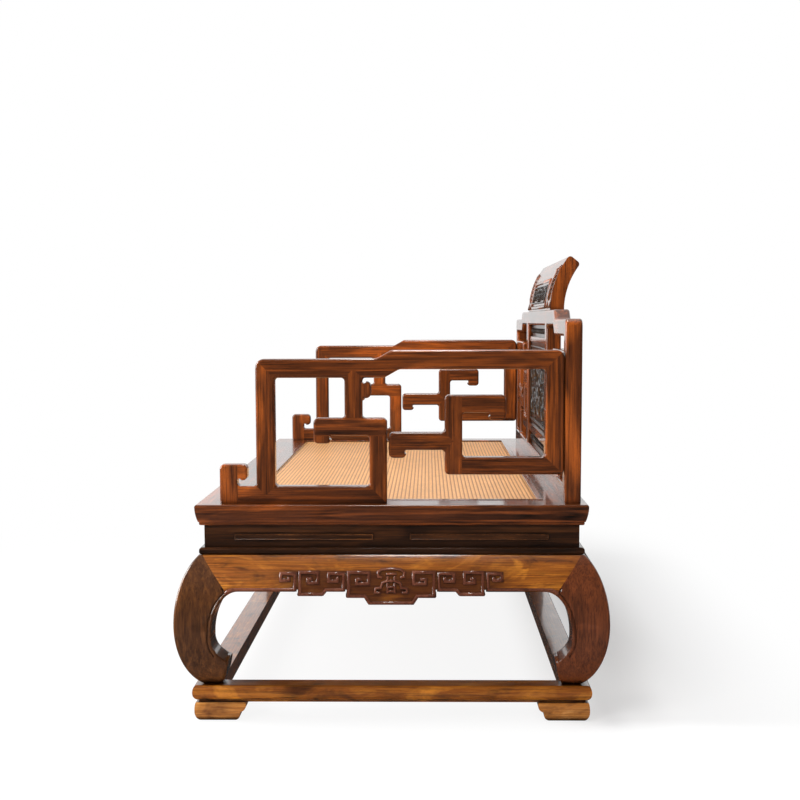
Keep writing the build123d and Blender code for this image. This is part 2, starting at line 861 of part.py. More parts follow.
arm_front = arm_setback - half_depth
arm_rear = half_depth - back_inset - back_thickness
arm_x = half_length - arm_inset - arm_thickness
arm_plane = Plane(origin=(arm_x, 0, 0), x_dir=(0, 1, 0), z_dir=(1, 0, 0))
arm_post = arm_front + post_setback
arm_upright = arm_front + arm_scroll_place
arm_rail_low = seat_height + arm_height - frame_bar
arm_rail_high = arm_rail_low + arm_step
arm_step_top = arm_front + step_place
arm_shelf = seat_height + arm_scroll_height
arm_shelf_tip = arm_upright - arm_scroll_length
arm_strut = arm_shelf_tip + arm_strut_place
sill_top = seat_height + fret_bar
hook_low = sill_top + hook_slot
box_low = seat_height + box_height
box_high = seat_height + box_top
box_far = arm_rear - box_length
box_tip = box_far + box_hook
link_low = seat_height + link_height
link_tip = arm_upright + scroll_gap

arm_bars = {
    "sill": Bar("across", seat_height, sill_top, arm_front, mitre(arm_upright, arm_upright - fret_bar)),
    "hook_post": Bar(
        "up", arm_front, arm_front + fret_bar, butt(seat_height + fret_bar / 2), seat_height + hook_height
    ),
    "hook": Bar(
        "across", hook_low, seat_height + hook_height, butt(arm_front + fret_bar / 2), arm_front + hook_reach
    ),
    "post": Bar(
        "up",
        arm_post,
        arm_post + frame_bar,
        point(sill_top, -frame_bar / 2),
        mitre(arm_rail_low + frame_bar, arm_rail_low),
    ),
    "rail_front": Bar(
        "across",
        arm_rail_low,
        arm_rail_low + frame_bar,
        mitre(arm_post + frame_bar, arm_post),
        arm_step_top - step_run + step_skew,
    ),
    "rail_rear": Bar(
        "across",
        arm_rail_high,
        arm_rail_high + frame_bar,
        arm_step_top,
        mitre(arm_rear - frame_bar, arm_rear),
    ),
    "rear_post": Bar(
        "up",
        arm_rear - frame_bar,
        arm_rear,
        mitre(box_low + fret_bar, box_low),
        mitre(arm_rail_high, arm_rail_high + frame_bar),
    ),
    "box_floor": Bar(
        "across",
        box_low,
        box_low + fret_bar,
        mitre(box_far, box_far + fret_bar),
        mitre(arm_rear, arm_rear - frame_bar),
    ),
    "box_side": Bar(
        "up",
        box_far,
        box_far + fret_bar,
        mitre(box_low, box_low + fret_bar),
        mitre(box_high, box_high - fret_bar),
    ),
    "box_hook": Bar("across", box_high - fret_bar, box_high, mitre(box_far + fret_bar, box_far), box_tip),
    "link": Bar("across", link_low, link_low + fret_bar, link_tip, point(box_far, fret_bar / 2)),
    "upright": Bar(
        "up",
        arm_upright - fret_bar,
        arm_upright,
        mitre(sill_top, seat_height),
        mitre(arm_shelf - fret_bar, arm_shelf),
    ),
    "shelf": Bar(
        "across", arm_shelf - fret_bar, arm_shelf, arm_shelf_tip, mitre(arm_upright - fret_bar, arm_upright)
    ),
    "strut": Bar(
        "up",
        arm_strut,
        arm_strut + fret_bar,
        point(arm_shelf, -fret_bar / 2),
        point(arm_rail_low, fret_bar / 2),
    ),
}

arm_extras = {
    "rail_front": [step(arm_step_top, arm_rail_low, arm_step, step_run, step_skew, frame_bar)],
    "box_hook": [lip(box_tip, box_tip - fret_bar, box_high - fret_bar)],
    "link": [lip(link_tip, link_tip + fret_bar, link_low)],
    "shelf": [lip(arm_shelf_tip, arm_shelf_tip + fret_bar, arm_shelf - fret_bar)],
    "strut": [ear(arm_strut + fret_bar, arm_strut + fret_bar + ear_width, arm_rail_low)],
}

arm_eyes = [
    (arm_front + fret_bar + eye_radius, hook_low),
    (box_tip - fret_bar, box_high - fret_bar - eye_radius),
    (link_tip + fret_bar, link_low - eye_radius),
    (arm_shelf_tip + fret_bar, arm_shelf - fret_bar - eye_radius),
    (arm_strut + fret_bar + eye_radius, arm_rail_low - ear_gap),
]

arm_pieces = {
    "sill": ["sill", "hook_post", "hook"],
    "front_post": ["post"],
    "top_rail": ["rail_front", "rail_rear"],
    "rear_post": ["rear_post"],
    "upright": ["upright"],
    "shelf": ["shelf"],
    "strut": ["strut"],
    "box_floor": ["box_floor"],
    "box_side": ["box_side"],
    "box_hook": ["box_hook"],
    "link_hook": ["link"],
}

arm_joints = [
    Joint("post", "start", "sill"),
    Joint("post", "end", "rail_front"),
    Joint("rear_post", "end", "rail_rear"),
    Joint("rear_post", "start", "box_floor"),
    Joint("box_side", "start", "box_floor"),
    Joint("box_side", "end", "box_hook"),
    Joint("link", "end", "box_side"),
    Joint("link", None, "upright"),
    Joint("upright", "start", "sill"),
    Joint("upright", "end", "shelf"),
    Joint("strut", "start", "shelf"),
    Joint("strut", "end", "rail_front"),
]

arm_pin_places = (arm_front + arm_pin_setback, arm_upright - arm_pin_setback)
arm_pins = [(arm_x + arm_thickness / 2, place, False) for place in arm_pin_places]


def arm_back_tenon(play=0.0):
    """Tenon from the arm's rear post into the end post of the back."""
    with BuildPart() as tenon:
        with Locations((arm_x + arm_thickness / 2, arm_rear, (box_low + arm_rail_high) / 2)):
            Box(tenon_thickness + 2 * play, 2 * (foot_pin_depth + play), foot_pin_length + 2 * play)
    return tenon.part


def right_arm():
    """All pieces of the right arm, by name."""
    corners = [(arm_post, arm_rail_low + frame_bar), (arm_rear, arm_rail_high + frame_bar)]
    face = fret_face(arm_bars, arm_extras, arm_eyes, corners, lambda spot: False)
    blank = fret_blank(face, arm_eyes, arm_plane, arm_thickness)
    finished = fret_pieces(blank, arm_plane, arm_thickness, arm_bars, arm_extras, arm_pieces, arm_joints)
    for name, tenons in (("sill", pins(arm_pins)), ("rear_post", arm_back_tenon())):
        with BuildPart() as piece:
            add(finished[name])
            add(tenons)
        finished[name] = piece.part
    return finished


# ---------------------------------------------------------------- back

back_end = half_length - back_end_inset
back_rear = half_depth - back_inset
back_middle = back_rear - back_thickness / 2
back_plane = Plane(origin=(0, back_rear, 0), x_dir=(1, 0, 0), z_dir=(0, -1, 0))
back_post = back_end - frame_bar
back_rail_low = seat_height + back_height - fret_bar
back_rail_high = back_rail_low + back_step
back_top = back_rail_high + fret_bar
stile_near = centre_width / 2
stile_far = stile_near + stile_width
back_upright = back_post - back_scroll_place
back_shelf = seat_height + back_scroll_height
back_shelf_tip = back_upright + back_scroll_length
back_strut = back_upright + back_strut_place
upper_low = seat_height + upper_hook_height
upper_tip = back_post - upper_hook_length
inner_low = seat_height + inner_box_height
inner_high = seat_height + inner_box_top
inner_far = stile_far + inner_box_reach
inner_tip = inner_far - inner_box_hook
inner_link_low = seat_height + inner_link_height
inner_link_tip = back_upright - scroll_gap

back_bars = {
    "bottom_rail": Bar("across", seat_height, sill_top, butt(0), point(back_post, fret_bar / 2)),
    "centre_rail": Bar("across", back_rail_high, back_top, butt(0), butt(stile_near)),
    "post": Bar("up", back_post, back_end, seat_height, mitre(back_rail_low, back_rail_low + fret_bar)),
    "low_rail": Bar(
        "across",
        back_rail_low,
        back_rail_low + fret_bar,
        back_step_place + step_run - step_skew,
        mitre(back_post, back_end),
    ),
    "high_rail": Bar("across", back_rail_high, back_top, butt(stile_far), back_step_place),
    "stile": Bar("up", stile_near, stile_far, butt(sill_top), back_top),
    "upright": Bar(
        "up",
        back_upright,
        back_upright + fret_bar,
        point(sill_top, -fret_bar / 2),
        mitre(back_shelf, back_shelf - fret_bar),
    ),
    "shelf": Bar(
        "across",
        back_shelf - fret_bar,
        back_shelf,
        mitre(back_upright + fret_bar, back_upright),
        back_shelf_tip,
    ),
    "strut": Bar(
        "up",
        back_strut,
        back_strut + fret_bar,
        point(back_shelf, -fret_bar / 2),
        point(upper_low, fret_bar / 2),
    ),
    "upper_hook": Bar("across", upper_low, upper_low + fret_bar, upper_tip, point(back_post, fret_bar / 2)),
    "box_floor": Bar(
        "across",
        inner_low,
        inner_low + fret_bar,
        point(stile_far, -fret_bar / 2),
        mitre(inner_far, inner_far - fret_bar),
    ),
    "box_side": Bar(
        "up",
        inner_far - fret_bar,
        inner_far,
        mitre(inner_low + fret_bar, inner_low),
        mitre(inner_high - fret_bar, inner_high),
    ),
    "box_hook": Bar(
        "across", inner_high - fret_bar, inner_high, inner_tip, mitre(inner_far - fret_bar, inner_far)
    ),
    "link": Bar(
        "across", inner_link_low, inner_link_low + fret_bar, point(inner_far, -fret_bar / 2), inner_link_tip
    ),
}

back_extras = {
    "low_rail": [
        [(-u, v) for u, v in step(-back_step_place, back_rail_low, back_step, step_run, step_skew, fret_bar)]
    ],
    "shelf": [lip(back_shelf_tip, back_shelf_tip - fret_bar, back_shelf - fret_bar)],
    "strut": [ear(back_strut, back_strut - ear_width, upper_low)],
    "upper_hook": [lip(upper_tip, upper_tip + fret_bar, upper_low)],
    "box_hook": [lip(inner_tip, inner_tip + fret_bar, inner_high - fret_bar)],
    "link": [lip(inner_link_tip, inner_link_tip - fret_bar, inner_link_low)],
}

back_eyes = [
    (back_shelf_tip - fret_bar, back_shelf - fret_bar - eye_radius),
    (back_strut - eye_radius, upper_low - ear_gap),
    (upper_tip + fret_bar, upper_low - eye_radius),
    (inner_tip + fret_bar, inner_high - fret_bar - eye_radius),
    (inner_link_tip - fret_bar, inner_link_low - eye_radius),
]

back_pieces = {
    "bottom_rail": ["bottom_rail"],
    "centre_rail": ["centre_rail"],
    "post": ["post"],
    "top_rail": ["low_rail", "high_rail"],
    "stile": ["stile"],
    "upright": ["upright"],
    "shelf": ["shelf"],
    "strut": ["strut"],
    "upper_hook": ["upper_hook"],
    "box_floor": ["box_floor"],
    "box_side": ["box_side"],
    "box_hook": ["box_hook"],
    "link_hook": ["link"],
}

back_joints = [
    Joint("bottom_rail", "end", "post"),
    Joint("centre_rail", "end", "stile"),
    Joint("stile", "start", "bottom_rail"),
    Joint("upright", "start", "bottom_rail"),
    Joint("post", "end", "low_rail"),
    Joint("high_rail", "start", "stile"),
    Joint("upright", "end", "shelf"),
    Joint("strut", "start", "shelf"),
    Joint("strut", "end", "upper_hook"),
    Joint("upper_hook", "end", "post"),
    Joint("box_floor", "start", "stile"),
    Joint("box_side", "start", "box_floor"),
    Joint("box_side", "end", "box_hook"),
    Joint("link", "start", "box_side"),
    Joint("link", None, "upright"),
]

board_span = centre_width + 2 * panel_tongue
lock_rail_low = seat_height + lock_rail_place
ledge_rail_low = seat_height + ledge_rail_place
boards = {                       # low edge, high edge and thickness of what fills the centre of the back
    "lower_panel": (sill_top, lock_rail_low, infill_thickness),
    "lock_rail": (lock_rail_low, lock_rail_low + lock_rail_height, lock_rail_thickness),
    "carved_panel": (lock_rail_low + lock_rail_height, ledge_rail_low, panel_thickness),
    "ledge_rail": (ledge_rail_low, ledge_rail_low + ledge_rail_height, lock_rail_thickness),
    "upper_panel": (ledge_rail_low + ledge_rail_height, back_rail_high, infill_thickness),
}

back_pins = [(end * place, back_middle, True) for place in back_pin_places for end in (-1, 1)]


def in_centre(spot):
    """Whether a corner of the back's outline belongs to the window between the stiles."""
    return abs(spot.X) < stile_near + 1


def board(name):
    """One board or rail between the stiles, with the tongues that run in their grooves."""
    low, high, thickness = boards[name]
    with BuildPart() as piece:
        with Locations((0, back_middle, (low + high) / 2)):
            Box(centre_width, thickness, high - low)
            Box(board_span, panel_tongue, high - low)
    return piece.part


def stile_groove():
    """Groove down both stiles that holds the boards."""
    with BuildPart() as groove:
        with Locations((0, back_middle, (sill_top + back_rail_high) / 2)):
            Box(board_span + 2 * joint_play, panel_tongue + 2 * joint_play, back_rail_high - sill_top)
    return groove.part


def crest_tenons(play=0.0):
    """Tenons under the crest, or with play their mortises in the centre rail."""
    with BuildPart() as tenons:
        with Locations((0, back_middle, back_top)):
            with GridLocations(crest_tenon_spacing, 0, 2, 1):
                Box(
                    crest_tenon_length + 2 * play,
                    tenon_thickness + 2 * play,
                    2 * (foot_pin_depth + play),
                )
    return tenons.part


def crest():
    """Crest: an even section that rises from the rail and curls backwards."""
    centre = (back_middle + crest_lean + crest_radius, back_top)
    with BuildPart() as piece:
        with BuildSketch(Plane.YZ):
            with BuildLine():
                front = CenterArc(centre, crest_radius + crest_thickness / 2, 180, -crest_sweep)
                rear = CenterArc(centre, crest_radius - crest_thickness / 2, 180, -crest_sweep)
                Line(front @ 0, rear @ 0)
                Line(front @ 1, rear @ 1)
            make_face()
        extrude(amount=crest_length / 2, both=True)
        top = piece.faces().sort_by(Axis.Z)[-1]
        fillet(top.edges().filter_by(Axis.X), crest_round)
        add(crest_tenons())
    return piece.part


def back():
    """All pieces of the right half of the back, by name, with the two rails that cross the middle."""
    corners = [(back_end, back_rail_low + fret_bar)]
    face = fret_face(back_bars, back_extras, back_eyes, corners, in_centre)
    blank = fret_blank(face, back_eyes, back_plane, back_thickness)
    finished = fret_pieces(
        blank, back_plane, back_thickness, back_bars, back_extras, back_pieces, back_joints
    )
    for name in ("bottom_rail", "centre_rail"):
        with BuildPart() as rail:
            add(finished[name])
            mirror(about=Plane.YZ)
            if name == "bottom_rail":
                add(pins(back_pins))
            else:
                add(crest_tenons(joint_play), mode=Mode.SUBTRACT)
        finished[name] = rail.part
    for name, hollow in (("stile", stile_groove()), ("post", arm_back_tenon(joint_play))):
        with BuildPart() as upright:
            add(finished[name])
            add(hollow, mode=Mode.SUBTRACT)
        finished[name] = upright.part
    return finished


# ---------------------------------------------------------------- the finished nodes

os.makedirs("parts", exist_ok=True)

seat_rails = framed_sides(
    rim_section(),
    -rail_width,
    0,
    seat_height - rail_tongue_low,
    seat_height - rail_tongue_high,
    rail_tongue_reach,
)
for side, rail in seat_rails.items():
    hollows = [head_tenon_block(corner, joint_play) for corner in CORNERS if side in corner_sides(corner)]
    if side in ("front", "rear"):
        hollows += [brace_tenons(place, joint_play) for place in brace_places]
    if side == "rear":
        hollows.append(pins(back_pins, joint_play))
    if side == "right":
        hollows.append(pins(arm_pins, joint_play))
    if side == "left":
        hollows.append(mirror(pins(arm_pins, joint_play), about=Plane.YZ))
    with BuildPart() as seat_rail:
        add(rail)
        add(hollows, mode=Mode.SUBTRACT)
    save(seat_rail.part, f"seat_rail_{side}")

save_group([brace(place) for place in brace_places], "seat_braces")

with BuildPart() as cane_mat:
    with BuildSketch(Plane.XY.offset(seat_height - cane_depth)):
        inset = 2 * (rail_width - cane_rebate + joint_play)
        Rectangle(seat_length - inset, seat_depth - inset)
    extrude(amount=cane_thickness)
save(cane_mat.part, "cane_mat")

strips = [mitred_side(side, strip_section(), -rail_width, cane_rebate - rail_width) for side in SIDES]
save_group(strips, "cane_strips")

for side in SIDES:
    with BuildPart() as waist:
        add(mitred_side(side, waist_section(), -core_inset, -nosing_inset))
        add(waist_lines(side))
    save(waist.part, f"waist_{side}")
    save(apron(side), f"apron_{side}")

for corner in CORNERS:
    save(leg(corner), f"leg_{corner}")
    save(foot(corner), f"foot_{corner}")

base_rails = framed_sides(
    base_section(),
    base_overhang - base_width,
    base_overhang,
    foot_height + base_tongue_low,
    foot_height + base_tongue_high,
    base_tongue_reach,
)
for side, rail in base_rails.items():
    corners = [corner for corner in CORNERS if side in corner_sides(corner)]
    with BuildPart() as base_rail:
        add(rail)
        add([foot_tenon_block(corner, joint_play) for corner in corners], mode=Mode.SUBTRACT)
        add([foot_peg(corner, joint_play) for corner in corners], mode=Mode.SUBTRACT)
    save(base_rail.part, f"base_rail_{side}")

arm = right_arm()
for side in ("right", "left"):
    if side == "left":
        pieces = {name: mirror(piece, about=Plane.YZ) for name, piece in arm.items()}
    else:
        pieces = arm
    for name in ("sill", "front_post", "top_rail", "rear_post", "link_hook"):
        save(pieces[name], f"arm_{name}_{side}")
    save_group([pieces[name] for name in ("upright", "shelf", "strut")], f"arm_front_scroll_{side}")
    save_group([pieces[name] for name in ("box_floor", "box_side", "box_hook")], f"arm_rear_scroll_{side}")

rear = back()
save(rear["bottom_rail"], "back_bottom_rail")
save(rear["centre_rail"], "back_centre_rail")
for side in ("right", "left"):
    if side == "left":
        pieces = {name: mirror(piece, about=Plane.YZ) for name, piece in rear.items()}
    else:
        pieces = rear
    for name in ("post", "top_rail", "stile", "upper_hook"):
        save(pieces[name], f"back_{name}_{side}")
    save_group([pieces[name] for name in ("upright", "shelf", "strut")], f"back_lower_scroll_{side}")
    inner_scroll = ("box_floor", "box_side", "box_hook", "link_hook")
    save_group([pieces[name] for name in inner_scroll], f"back_inner_scroll_{side}")

for name in ("lower_panel", "carved_panel", "upper_panel"):
    save(board(name), name)
save_group([board("lock_rail"), board("ledge_rail")], "back_lock_rails")
save(crest(), "crest_rail")
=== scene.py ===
import math
from collections import namedtuple

import bmesh
import bpy
from mathutils import Matrix, Vector
from mathutils.bvhtree import BVHTree


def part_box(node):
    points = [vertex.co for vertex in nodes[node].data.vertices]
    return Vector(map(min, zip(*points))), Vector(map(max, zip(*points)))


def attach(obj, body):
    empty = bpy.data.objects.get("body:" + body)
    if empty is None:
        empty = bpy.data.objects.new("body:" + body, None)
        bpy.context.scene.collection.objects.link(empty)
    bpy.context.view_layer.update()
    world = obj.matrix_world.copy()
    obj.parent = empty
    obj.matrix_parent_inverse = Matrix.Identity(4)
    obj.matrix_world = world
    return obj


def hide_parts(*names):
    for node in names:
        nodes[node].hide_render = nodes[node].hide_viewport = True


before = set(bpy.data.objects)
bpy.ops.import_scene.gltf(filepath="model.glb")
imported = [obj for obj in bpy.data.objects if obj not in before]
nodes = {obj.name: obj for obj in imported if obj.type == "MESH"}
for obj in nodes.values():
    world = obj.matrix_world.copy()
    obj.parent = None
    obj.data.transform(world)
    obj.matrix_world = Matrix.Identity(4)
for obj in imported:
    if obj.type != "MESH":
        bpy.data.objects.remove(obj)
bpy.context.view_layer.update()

# Finishes, carving and cane seat of a luohan daybed in polished rosewood.
# X runs along the bed, -Y is its front and +Z is up. Sizes are in metres, and MM turns millimetres
# into them.

MM = 0.001

bl_info = {
    "name": "Luohan daybed",
    "version": (1, 0, 0),
    "blender": (4, 5, 0),
    "location": "View3D > Sidebar > Daybed",
    "description": "Finishes, carving and cane seat of a rosewood luohan daybed",
    "category": "Object",
}

# ---------------------------------------- places taken from the frame

SIDES = {"front": (0, -1, 0), "rear": (0, 1, 0), "left": (-1, 0, 0), "right": (1, 0, 0)}
LONG_SIDES = ("front", "rear")

# Lower edges of an apron: its middle pendant, the shelf beside that, the tab further out, and the arch.
pendant_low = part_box("apron_right")[0].z
shelf_low = pendant_low + 15 * MM
tab_low = pendant_low + 19 * MM
arch_top = pendant_low + 28.5 * MM

# Where an apron's lower edge turns, in millimetres from its middle.
SHORT_CUSPS = {"pendant": 51, "slope": 61, "notch": 102, "tab": 147, "tab_slope": 155, "outer": 212}
LONG_CUSPS = {"pendant": 102, "slope": 112, "notch": 250, "tab": 430, "tab_slope": 438, "outer": 600}

# The raised bars of a waist board: their number, length and gap, and their edges' heights in millimetres.
Bars = namedtuple("Bars", "count length gap")
SHORT_BARS = Bars(2, 318, 82)
LONG_BARS = Bars(4, 410, 60)
BAR_LOW = 419
BAR_HIGH = 430.5
BEAD_IN = 2                             # how far in from a bar's ends the middle of its bead runs

# ---------------------------------------- woods

Wood = namedtuple("Wood", "pale middle dark gloss")
Turn = namedtuple("Turn", "grain axis low high")
Ground = namedtuple("Ground", "top reach tone")

WOODS = {
    "rosewood": Wood("b05616", "5a2a0b", "1a0c04", 0.9),
    "rosewood_leg": Wood("7c4a22", "4e2c14", "24140a", 0.9),
    "rosewood_red": Wood("8e4824", "643218", "2c140a", 0.9),
    "rosewood_foot": Wood("dc9a50", "b4702e", "6c3c18", 0.9),
    "rosewood_figured": Wood("c47822", "8a4a12", "3e1e0a", 0.9),
    "rosewood_dark": Wood("5c3212", "301808", "140a05", 0.8),
    "rosewood_ground": Wood("7e4832", "603322", "3c190b", 0.9),
    "rosewood_carved": Wood("2e1e16", "1a100b", "0a0604", 0.4),
}

# Pieces cut from another board than the rest of their kind.
TONES = {"leg_front": "rosewood_leg", "leg_rear": "rosewood_red", "foot": "rosewood_foot"}

# Grain of the pieces whose grain does not run along the bed. The first name that fits counts.
GRAINS = {
    "leg": "z",
    "arm_front_post": "z",
    "arm_rear_post": "z",
    "back_post": "z",
    "back_stile": "z",
    "arm_front_scroll": "z",
    "back_lower_scroll": "z",
    "arm": "y",
    "foot": "y",
    "seat_braces": "y",
}
for piece in ("apron", "waist", "seat_rail", "base_rail"):
    GRAINS.update({f"{piece}_left": "y", f"{piece}_right": "y"})

# Pieces in which one member's grain turns: in which direction, and between which distances from the
# bed's middle along an axis, in millimetres.
TURNS = {
    "arm_front_scroll": Turn("y", "z", 655, 695),
    "back_lower_scroll": Turn("x", "z", 655, 695),
    "arm_rear_scroll": Turn("z", "y", 119, 159),
    "back_inner_scroll": Turn("z", "x", 505, 545),
    "arm_sill": Turn("z", "y", 352, 392),
    "crest_rail": Turn("z", "x", 416, 424),
}

# Top of the aprons' carving, and its reach from their middle by the axis they run along, in millimetres.
CARVED_TOP = 353
CARVED_REACH = {"x": 640, "y": 250}


def srgb(code):
    """Linear red, green and blue of a colour written as six hex digits."""
    channels = [int(code[place:place + 2], 16) / 255 for place in (0, 2, 4)]
    return tuple(c / 12.92 if c <= 0.04045 else ((c + 0.055) / 1.055) ** 2.4 for c in channels)


def colour(name, code, about):
    """A colour setting with its default written in hex."""
    return bpy.props.FloatVectorProperty(
        name=name, description=about, subtype="COLOR", size=3, min=0, max=1, default=srgb(code)
    )


def length(name, default, about):
    """A length setting in metres."""
    return bpy.props.FloatProperty(
        name=name, description=about, default=default, min=0, subtype="DISTANCE", unit="LENGTH"
    )


# ---------------------------------------- settings


class DaybedWood(bpy.types.PropertyGroup):
    """Three tones of one rosewood, and its gloss."""

    pale: colour("Pale", WOODS["rosewood"].pale, "Colour of the wood between its streaks")
    middle: colour("Middle", WOODS["rosewood"].middle, "Colour of most of the wood")
    dark: colour("Dark", WOODS["rosewood"].dark, "Colour of the streaks and pores")
    gloss: bpy.props.FloatProperty(
        name="Gloss", description="How much of the surface is lacquered",
        default=WOODS["rosewood"].gloss, min=0, max=1,
    )


class DaybedCarving(bpy.types.PropertyGroup):
    """Sizes of the carved lines."""

    line: length("Line width", 8 * MM, "Width of a carved line")
    lip: length("Lip width", 8 * MM, "Width of the rolled lip down the legs' inner edges")
    relief: length("Relief", 4.5 * MM, "How far carved lines stand proud")
    quirk: length("Quirk", 1.8 * MM, "Radius of the groove that sets off a leg's lip")
    bead: length("Bead", 3.5 * MM, "Width of the bead round a bar on the waist")
    bead_relief: length("Bead relief", 1.6 * MM, "How far that bead stands proud")


class DaybedCane(bpy.types.PropertyGroup):
    """The woven seat."""

    warp: length("Warp", 9.5 * MM, "Distance between the strands that run along the bed")
    weft: length("Weft", 5 * MM, "Distance between the strands that run across it")
    sag: length("Sag", 3 * MM, "How far the middle of the seat gives")
    thickness: length("Thickness", 1.5 * MM, "Thickness of the weave")
    strand: colour("Strand", "eab070", "Colour of the cane")
    # Shade and Gap are painted shade: the tones of a strand's dip under its neighbour and of the gaps
    # between strands.
    shade: colour("Shade", "b8763c", "Colour where a strand dips under its neighbour")
    gap: colour("Gap", "5c3a1e", "Colour between the strands")


class DaybedStage(bpy.types.PropertyGroup):
    """Floor, lamps and sky."""

    floor: colour("Floor", "f4f4f4", "Colour of the floor")
    plain: bpy.props.FloatProperty(
        name="Plain", description="Share of the floor under the bed that no shadow reaches", default=0.9,
        min=0, max=1,
    )
    beside: bpy.props.FloatProperty(
        name="Beside", description="The same share just behind the bed", default=0.35, min=0, max=1
    )
    key_power: bpy.props.FloatProperty(
        name="Key", description="Power of the tall lamp at the front", default=175, min=0, unit="POWER"
    )
    top_power: bpy.props.FloatProperty(
        name="Top", description="Power of the lamp overhead", default=60, min=0, unit="POWER"
    )
    fill_power: bpy.props.FloatProperty(
        name="Fill", description="Power of the lamp at the right end", default=85, min=0, unit="POWER"
    )
    sky: bpy.props.FloatProperty(
        name="Sky", description="Strength of the even light all round", default=0.42, min=0, max=1
    )


# ---------------------------------------- materials


def add_node(tree, kind, inputs=None, stops=(), **options):
    """One shader node: options are its own settings, inputs its values or what feeds them, and stops
    the places and colours of a colour ramp."""
    made = tree.nodes.new("ShaderNode" + kind)
    for name, value in options.items():
        setattr(made, name, value)
    for name, value in (inputs or {}).items():
        if isinstance(value, bpy.types.NodeSocket):
            tree.links.new(value, made.inputs[name])
        else:
            made.inputs[name].default_value = value
    if stops:
        elements = made.color_ramp.elements
        elements[0].position, elements[0].color = stops[0]
        elements[1].position, elements[1].color = stops[-1]
        for place, tone in stops[1:-1]:
            elements.new(place).color = tone
    return made


def grey(level):
    """A neutral colour of one level."""
    return (level, level, level, 1)


def opaque(tone):
    """A colour property as four numbers."""
    return (*tone, 1)


def new_material(name):
    """An empty material: its tree and its surface shader."""
    material = bpy.data.materials.new(name)
    material.use_nodes = True
    return material, material.node_tree, material.node_tree.nodes["Principled BSDF"]


def along_grain(tree, start, grain):
    """Coordinates turned so that their first axis follows the grain."""
    parts = add_node(tree, "SeparateXYZ", {"Vector": start}).outputs
    order = grain + "xyz".replace(grain, "")
    turned = dict(zip("XYZ", (parts[axis.upper()] for axis in order)))
    return add_node(tree, "CombineXYZ", turned).outputs["Vector"]


def within(tree, start, axis, low, high, soft=1 * MM):
    """1 where the distance from the bed's middle along one axis lies between two places, else 0."""
    part = add_node(tree, "SeparateXYZ", {"Vector": start}).outputs[axis.upper()]
    distance = add_node(tree, "Math", {0: part}, operation="ABSOLUTE").outputs["Value"]
    offset = add_node(tree, "Math", {0: distance, 1: (low + high) / 2}, operation="SUBTRACT")
    away = add_node(tree, "Math", {0: offset.outputs["Value"]}, operation="ABSOLUTE").outputs["Value"]
    edge = (high - low) / 2
    inputs = {"Value": away, "From Min": edge - soft, "From Max": edge + soft, "To Min": 1.0, "To Max": 0.0}
    return add_node(tree, "MapRange", inputs).outputs["Result"]


def grained(tree, place, along, across, detail, roughness=0.55, distortion=0.0):
    """A noise pattern with so many repeats per metre along the grain and across it."""
    stretched = add_node(tree, "Mapping", {"Vector": place, "Scale": (along, across, across)})
    inputs = {
        "Vector": stretched.outputs["Vector"],
        "Scale": 1.0,
        "Detail": detail,
        "Roughness": roughness,
        "Distortion": distortion,
    }
    return add_node(tree, "TexNoise", inputs).outputs["Fac"]


def laid_over(tree, below, above, pattern, low, high, share):
    """A colour with another laid over it: nothing where a pattern is low, a share where it is high."""
    inputs = {"Value": pattern, "From Min": low, "From Max": high, "To Min": 0.0, "To Max": share}
    cover = add_node(tree, "MapRange", inputs).outputs["Result"]
    mixed = add_node(tree, "Mix", {"Factor": cover, "A": below, "B": above}, data_type="RGBA")
    return mixed.outputs["Result"]


def shaded(tree, tone, pattern, low, high, shade, share):
    """A colour darkened by a share of one shade where a pattern is low, and left alone where it is high."""
    stops = [(low, grey(shade)), (high, grey(1.0))]
    shadow = add_node(tree, "ValToRGB", {"Fac": pattern}, stops).outputs["Color"]
    inputs = {"Factor": share, "A": tone, "B": shadow}
    return add_node(tree, "Mix", inputs, data_type="RGBA", blend_type="MULTIPLY").outputs["Result"]


